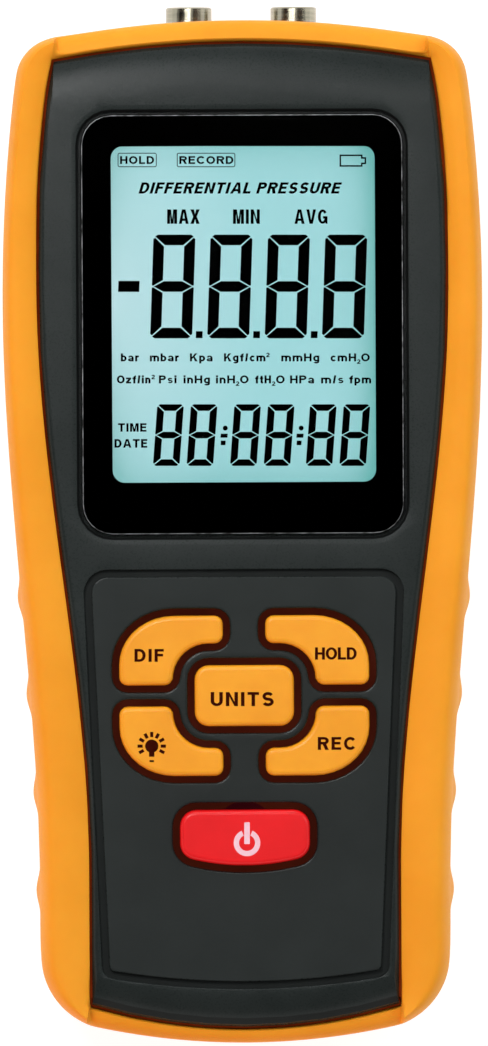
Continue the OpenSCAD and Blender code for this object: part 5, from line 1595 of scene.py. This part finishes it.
@dataclass
class Keypad:
    """Keys with their printed legends, the collars that spring them back and the rubber sheet.

    The ink is a legend's thickness, and its foot is how far it begins below a key's old top. The neck is half
    its width and its length from the bulb's middle, a ray is its near and far end from there, and the ring is
    its outer and inner radius.
    """

    wardrobe: Wardrobe
    crease_deg: float = 35
    ink: float = 0.02 * MM
    ink_foot: float = 0.025 * MM
    keys: tuple[str, ...] = ("dif", "hold", "units", "light", "rec", "power")
    words: ClassVar[Mapping[str, Row]] = {
        "dif": Row(661.4, 12.8, (("DIF", (134.8, 164.0)),), SPACED),
        "hold": Row(659.2, 12.2, (("HOLD", (314.8, 356.4)),), TIGHT),
        "units": Row(705.6, 14.0, (("UNITS", (210.8, 273.8)),), SPACED),
        "rec": Row(749.2, 12.8, (("REC", (317.6, 355.4)),), SPACED),
    }
    bulb_px: Point = (152.0, 745.5)
    bulb_radius_px: float = 6.6
    bulb_steps: int = 26
    neck_px: Point = (2.6, 10.6)
    cap_line_px: ClassVar[tuple[float, ...]] = (-2.2, 14.0, 2.2, 15.9)
    ray_px: Span = (9.0, 14.2)
    ray_width_px: float = 3.1
    rays_deg: tuple[float, ...] = (-28, 0, 31, 61, 90, 119, 149, 180, 208)
    standby_px: Point = (247.0, 842.0)
    ring_px: Span = (13.3, 8.0)
    ring_gap_deg: float = 24
    ring_steps: int = 28
    standby_bar_px: ClassVar[tuple[float, ...]] = (244.2, 821.4, 249.8, 843.2, 0.8)

    def build(self) -> None:
        """Refines the keys and their collars, and prints the legends."""
        w = self.wardrobe
        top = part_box("key_units")[1].z
        for key in self.keys:
            power = key == "power"
            slot = "key_red" if power else "key_orange"
            cap = copied("key_" + key, "cap_" + key)
            lower_top(cap, self.ink)
            w.piece(shaded(cap, self.crease_deg), Finishes.POWER_KEY if power else Finishes.KEY, slot)
            collar = shaded(copied("dome_" + key, "collar_" + key, bends=True), self.crease_deg)
            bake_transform(collar)
            # The collars get the mat's painted shade and glow.
            w.piece(collar, Finishes.POWER_MAT if power else Finishes.MAT, slot)
        legends = {key: row.loops() for key, row in self.words.items()}
        legends["light"] = self.bulb_sign()
        legends["power"] = self.power_sign()
        for key, loops in legends.items():
            finish, slot = (Finishes.PALE_INK, "tube_rubber") if key == "power" else (Finishes.INK, "carbon")
            w.piece(sheet("legend_" + key, loops, top - self.ink_foot, self.ink), finish, slot, "key_" + key)

    def bulb_sign(self) -> list[Loop]:
        """Draws a shining bulb: a round head on a neck, a cap line and nine rays.

        Returns:
            The outlines in the object's frame.
        """
        (x, y), r = self.bulb_px, self.bulb_radius_px
        neck, neck_end = self.neck_px
        below = int(math.degrees(math.acos(neck / r)))
        head = bow(x, y, r, r, 180 - below, 360 + below, self.bulb_steps)
        left, top, right, foot = self.cap_line_px
        loops = [head + [(x + neck, y + neck_end), (x - neck, y + neck_end)]]
        loops.append(block(x + left, y + top, x + right, y + foot))
        near, far = self.ray_px
        for degrees in self.rays_deg:
            c, s = math.cos(math.radians(degrees)), -math.sin(math.radians(degrees))
            ray = [(x + near * c, y + near * s), (x + far * c, y + far * s)]
            loops.append(stroke(ray, self.ray_width_px))
        return [PHOTO.loop(loop) for loop in loops]

    def power_sign(self) -> list[Loop]:
        """Draws the standby sign: a ring open at the top, with a bar in the gap.

        Returns:
            The outlines in the object's frame.
        """
        (x, y), (outer, inner) = self.standby_px, self.ring_px
        start, end = self.ring_gap_deg - 90, 270 - self.ring_gap_deg
        ring = bow(x, y, outer, outer, start, end, self.ring_steps)
        ring += bow(x, y, inner, inner, end, start, self.ring_steps)
        return [PHOTO.loop(ring), PHOTO.loop(rounded_box(*self.standby_bar_px))]

    def dress(self) -> None:
        """Dresses the rubber sheet and the carbon pills."""
        # The rubber sheet gets the same painted shade and glow.
        self.wardrobe.node("keypad_mat", Finishes.MAT)
        for key in self.keys:
            self.wardrobe.node("pill_" + key, Finishes.CARBON)


@dataclass
class Plumbing:
    """Pressure ports with their seals, nuts and tubes, and the sensor."""

    wardrobe: Wardrobe
    crease_deg: float = 30

    def build(self) -> None:
        """Refines the turned ports."""
        for side in ("high", "low"):
            nozzle = shaded(copied("port_" + side, "nozzle_" + side), self.crease_deg)
            self.wardrobe.piece(nozzle, Finishes.NICKEL, "nickel")

    def dress(self) -> None:
        """Dresses what lies inside the case."""
        w = self.wardrobe
        w.node("port_nuts", Finishes.BRASS)
        w.node("port_seals", Finishes.SEAL)
        w.node("tube_high", Finishes.TUBE)
        w.node("tube_low", Finishes.TUBE)
        w.node("pressure_sensor", Finishes.CHIP)


@dataclass
class Electronics:
    """Board, inlet and battery with its snap and leads."""

    wardrobe: Wardrobe

    def dress(self) -> None:
        """Dresses the board and what is wired to it."""
        w = self.wardrobe
        w.node("pcb", Finishes.BOARD)
        w.node("pcb_components", Finishes.CHIP)
        w.node("usb_socket", Finishes.TIN)
        w.node("battery", Finishes.BATTERY)
        w.node("battery_snap", Finishes.SNAP)
        w.node("lead_positive", Finishes.RED_LEAD)
        w.node("lead_negative", Finishes.BLACK_LEAD)


# Studio

WHITE = (1, 1, 1, 1)
BLACK = (0, 0, 0, 1)


@dataclass(frozen=True)
class Card:
    """A card over the object, seen only in reflections: a black flag, or a white one that glows.

    Across and along are its sides, glow is how bright a white card is, and drop is how far it hangs below the
    others.
    """

    name: str
    across: Span
    along: Span
    glow: float = 0.0
    drop: float = 0.0

    def hang(self, height: float) -> None:
        """Hangs the card.

        Args:
            height: Where cards hang that don't drop.
        """
        (x0, x1), (y0, y1) = self.across, self.along
        bpy.ops.object.select_all(action="DESELECT")
        middle = ((x0 + x1) / 2, (y0 + y1) / 2, height - self.drop)
        bpy.ops.mesh.primitive_plane_add(size=1, location=middle)
        bpy.ops.transform.resize(value=(x1 - x0, y1 - y0, 1))
        card = bpy.context.view_layer.objects.active
        card.name = self.name
        material, tree, shader = new_material("card_white" if self.glow else "card_black")
        wire(tree, shader, {"Base Color": BLACK, "Specular IOR Level": 0.0})
        wire(tree, shader, {"Emission Color": WHITE, "Emission Strength": self.glow})
        dress(card, material)
        card.visible_camera = False
        card.visible_diffuse = False
        card.visible_shadow = False


@dataclass(frozen=True)
class Softbox:
    """A soft square lamp that points at the object, and shows in reflections if it shines."""

    name: str
    place: Point3
    size: float
    power: float
    colour: str = "#FFFFFF"
    shines: bool = True

    def hang(self, target: Vector) -> None:
        """Hangs the lamp.

        Args:
            target: Where it points.
        """
        light = bpy.data.lights.new(self.name, "AREA")
        light.size = self.size
        light.energy = self.power
        light.color = linear(self.colour)[:3]
        lamp = bpy.data.objects.new(self.name, light)
        bpy.context.scene.collection.objects.link(lamp)
        lamp.location = self.place
        lamp.rotation_euler = (target - Vector(self.place)).to_track_quat("-Z", "Y").to_euler()
        lamp.visible_glossy = self.shines


@dataclass
class Studio:
    """Pale floor, soft light and the camera of the photograph.

    The ports reflect the strip overhead between near and far. The face and the top roll reflect what lies
    before and beyond it.
    """

    distance: float = 3.0
    face_height: float = 0.03
    film_height_mm: float = 24
    view_depth: float = 20
    floor_size: float = 3.0
    floor_colour: str = "#989898"
    floor_glow: float = 0.86
    sky: float = 0.56
    sky_low: float = 0.38
    card_height: float = 0.85
    near: ClassVar[float] = 0.088
    far: ClassVar[float] = 0.16
    aim: ClassVar[Vector] = Vector((0, 0, 0.02))
    cards: ClassVar[tuple[Card, ...]] = (
        Card("flag_over_face", (-1.0, 1.0), (-0.7, near)),
        Card("flag_left_of_ports", (-1.6, -0.3), (near, far)),
        Card("flag_right_of_ports", (0.3, 1.6), (near, far)),
        Card("flag_over_top_roll", (-1.6, 1.6), (far, 1.7)),
        Card("card_over_ports", (-0.1, 0.1), (near, far), glow=7.0),
        Card("card_over_top_roll", (-0.1, -0.03), (0.1, 0.14), glow=13.0, drop=0.55),
        Card("card_over_top_edge", (-0.04, 0.1), (0.7, 0.95), glow=9.0, drop=0.35),
    )
    lamps: ClassVar[tuple[Softbox, ...]] = (
        Softbox("near_softbox", (-0.2, 0.3, 0.6), size=0.2, power=1.7),
        Softbox("right_softbox", (0.75, 0.35, 0.9), size=0.4, power=2.5),
        Softbox("top_softbox", (0.1, 1.2, 0.8), size=0.8, power=4.5, shines=False),
        Softbox("warm_bounce", (-0.5, -0.75, 0.12), size=0.5, power=3.0, colour="#FF6A08", shines=False),
    )

    def floor(self) -> None:
        """Lays a pale floor under the object."""
        bpy.ops.object.select_all(action="DESELECT")
        bpy.ops.mesh.primitive_plane_add(size=self.floor_size, location=(0, 0, 0))
        floor = bpy.context.view_layer.objects.active
        floor.name = "studio_floor"
        material, tree, shader = new_material("floor_paper")
        paper = {"Base Color": linear(self.floor_colour), "Roughness": 0.9, "Specular IOR Level": 0.0}
        wire(tree, shader, {**paper, "Emission Color": WHITE, "Emission Strength": self.floor_glow})
        dress(floor, material)

    def world(self) -> None:
        """Surrounds the object with soft light.

        It is dimmer on the side of the object's foot, and looks white to the camera and in reflections.
        """
        world = bpy.data.worlds.new("studio_sky")
        bpy.context.scene.world = world
        world.use_nodes = True
        tree = world.node_tree
        tree.nodes.clear()
        ray = add(tree, "LightPath").outputs
        seen = ray["Is Camera Ray"]
        for kind in ("Is Glossy Ray", "Is Transmission Ray"):
            seen = add(tree, "Math", links={0: seen, 1: ray[kind]}, operation="MAXIMUM").outputs[0]
        spot = add(tree, "SeparateXYZ", links={"Vector": add(tree, "TexCoord").outputs["Generated"]})
        dimmed = {"From Min": -1.0, "From Max": 0.0, "To Min": self.sky_low, "To Max": self.sky}
        sky = add(tree, "MapRange", dimmed, {"Value": spot.outputs["Y"]}).outputs["Result"]
        strength = add(tree, "MapRange", {"To Max": 1.0}, {"Value": seen, "To Min": sky}).outputs["Result"]
        shine = add(tree, "Background", {"Color": WHITE}, {"Strength": strength})
        add(tree, "OutputWorld", links={"Surface": shine.outputs[0]})

    def camera(self) -> None:
        """Sets a long lens straight over the face, framed and rolled as the photograph is."""
        scene = bpy.context.scene
        lens = bpy.data.cameras.new("front_camera")
        lens.sensor_fit = "VERTICAL"
        lens.sensor_height = self.film_height_mm
        width_px, height_px = PHOTO.frame_px
        lens.lens = self.film_height_mm * self.distance / (height_px * PHOTO.pixel)
        lens.clip_end = self.view_depth
        camera = bpy.data.objects.new("front_camera", lens)
        scene.collection.objects.link(camera)
        x, y = PHOTO.spot(width_px / 2, height_px / 2)
        camera.location = (x, y, self.distance + self.face_height)
        camera.rotation_euler = (0, 0, -math.radians(PHOTO.roll_deg))
        scene.camera = camera

    def build(self) -> None:
        """Sets up the whole studio."""
        self.floor()
        self.world()
        for card in self.cards:
            card.hang(self.card_height)
        for lamp in self.lamps:
            lamp.hang(self.aim)
        self.camera()
        bpy.context.scene.view_settings.view_transform = "Standard"


def main() -> None:
    """Builds and dresses the object, then its studio."""
    logging.basicConfig(level=logging.INFO, format="%(name)s: %(message)s")
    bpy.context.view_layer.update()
    wardrobe = Wardrobe()
    case = Case(wardrobe)
    display = Display(wardrobe)
    keypad = Keypad(wardrobe)
    plumbing = Plumbing(wardrobe)
    electronics = Electronics(wardrobe)
    for part in (case, display, keypad, plumbing):
        part.build()
    for part in (case, display, keypad, plumbing, electronics):
        part.dress()
    Studio().build()


if __name__ == "__main__":
    main()
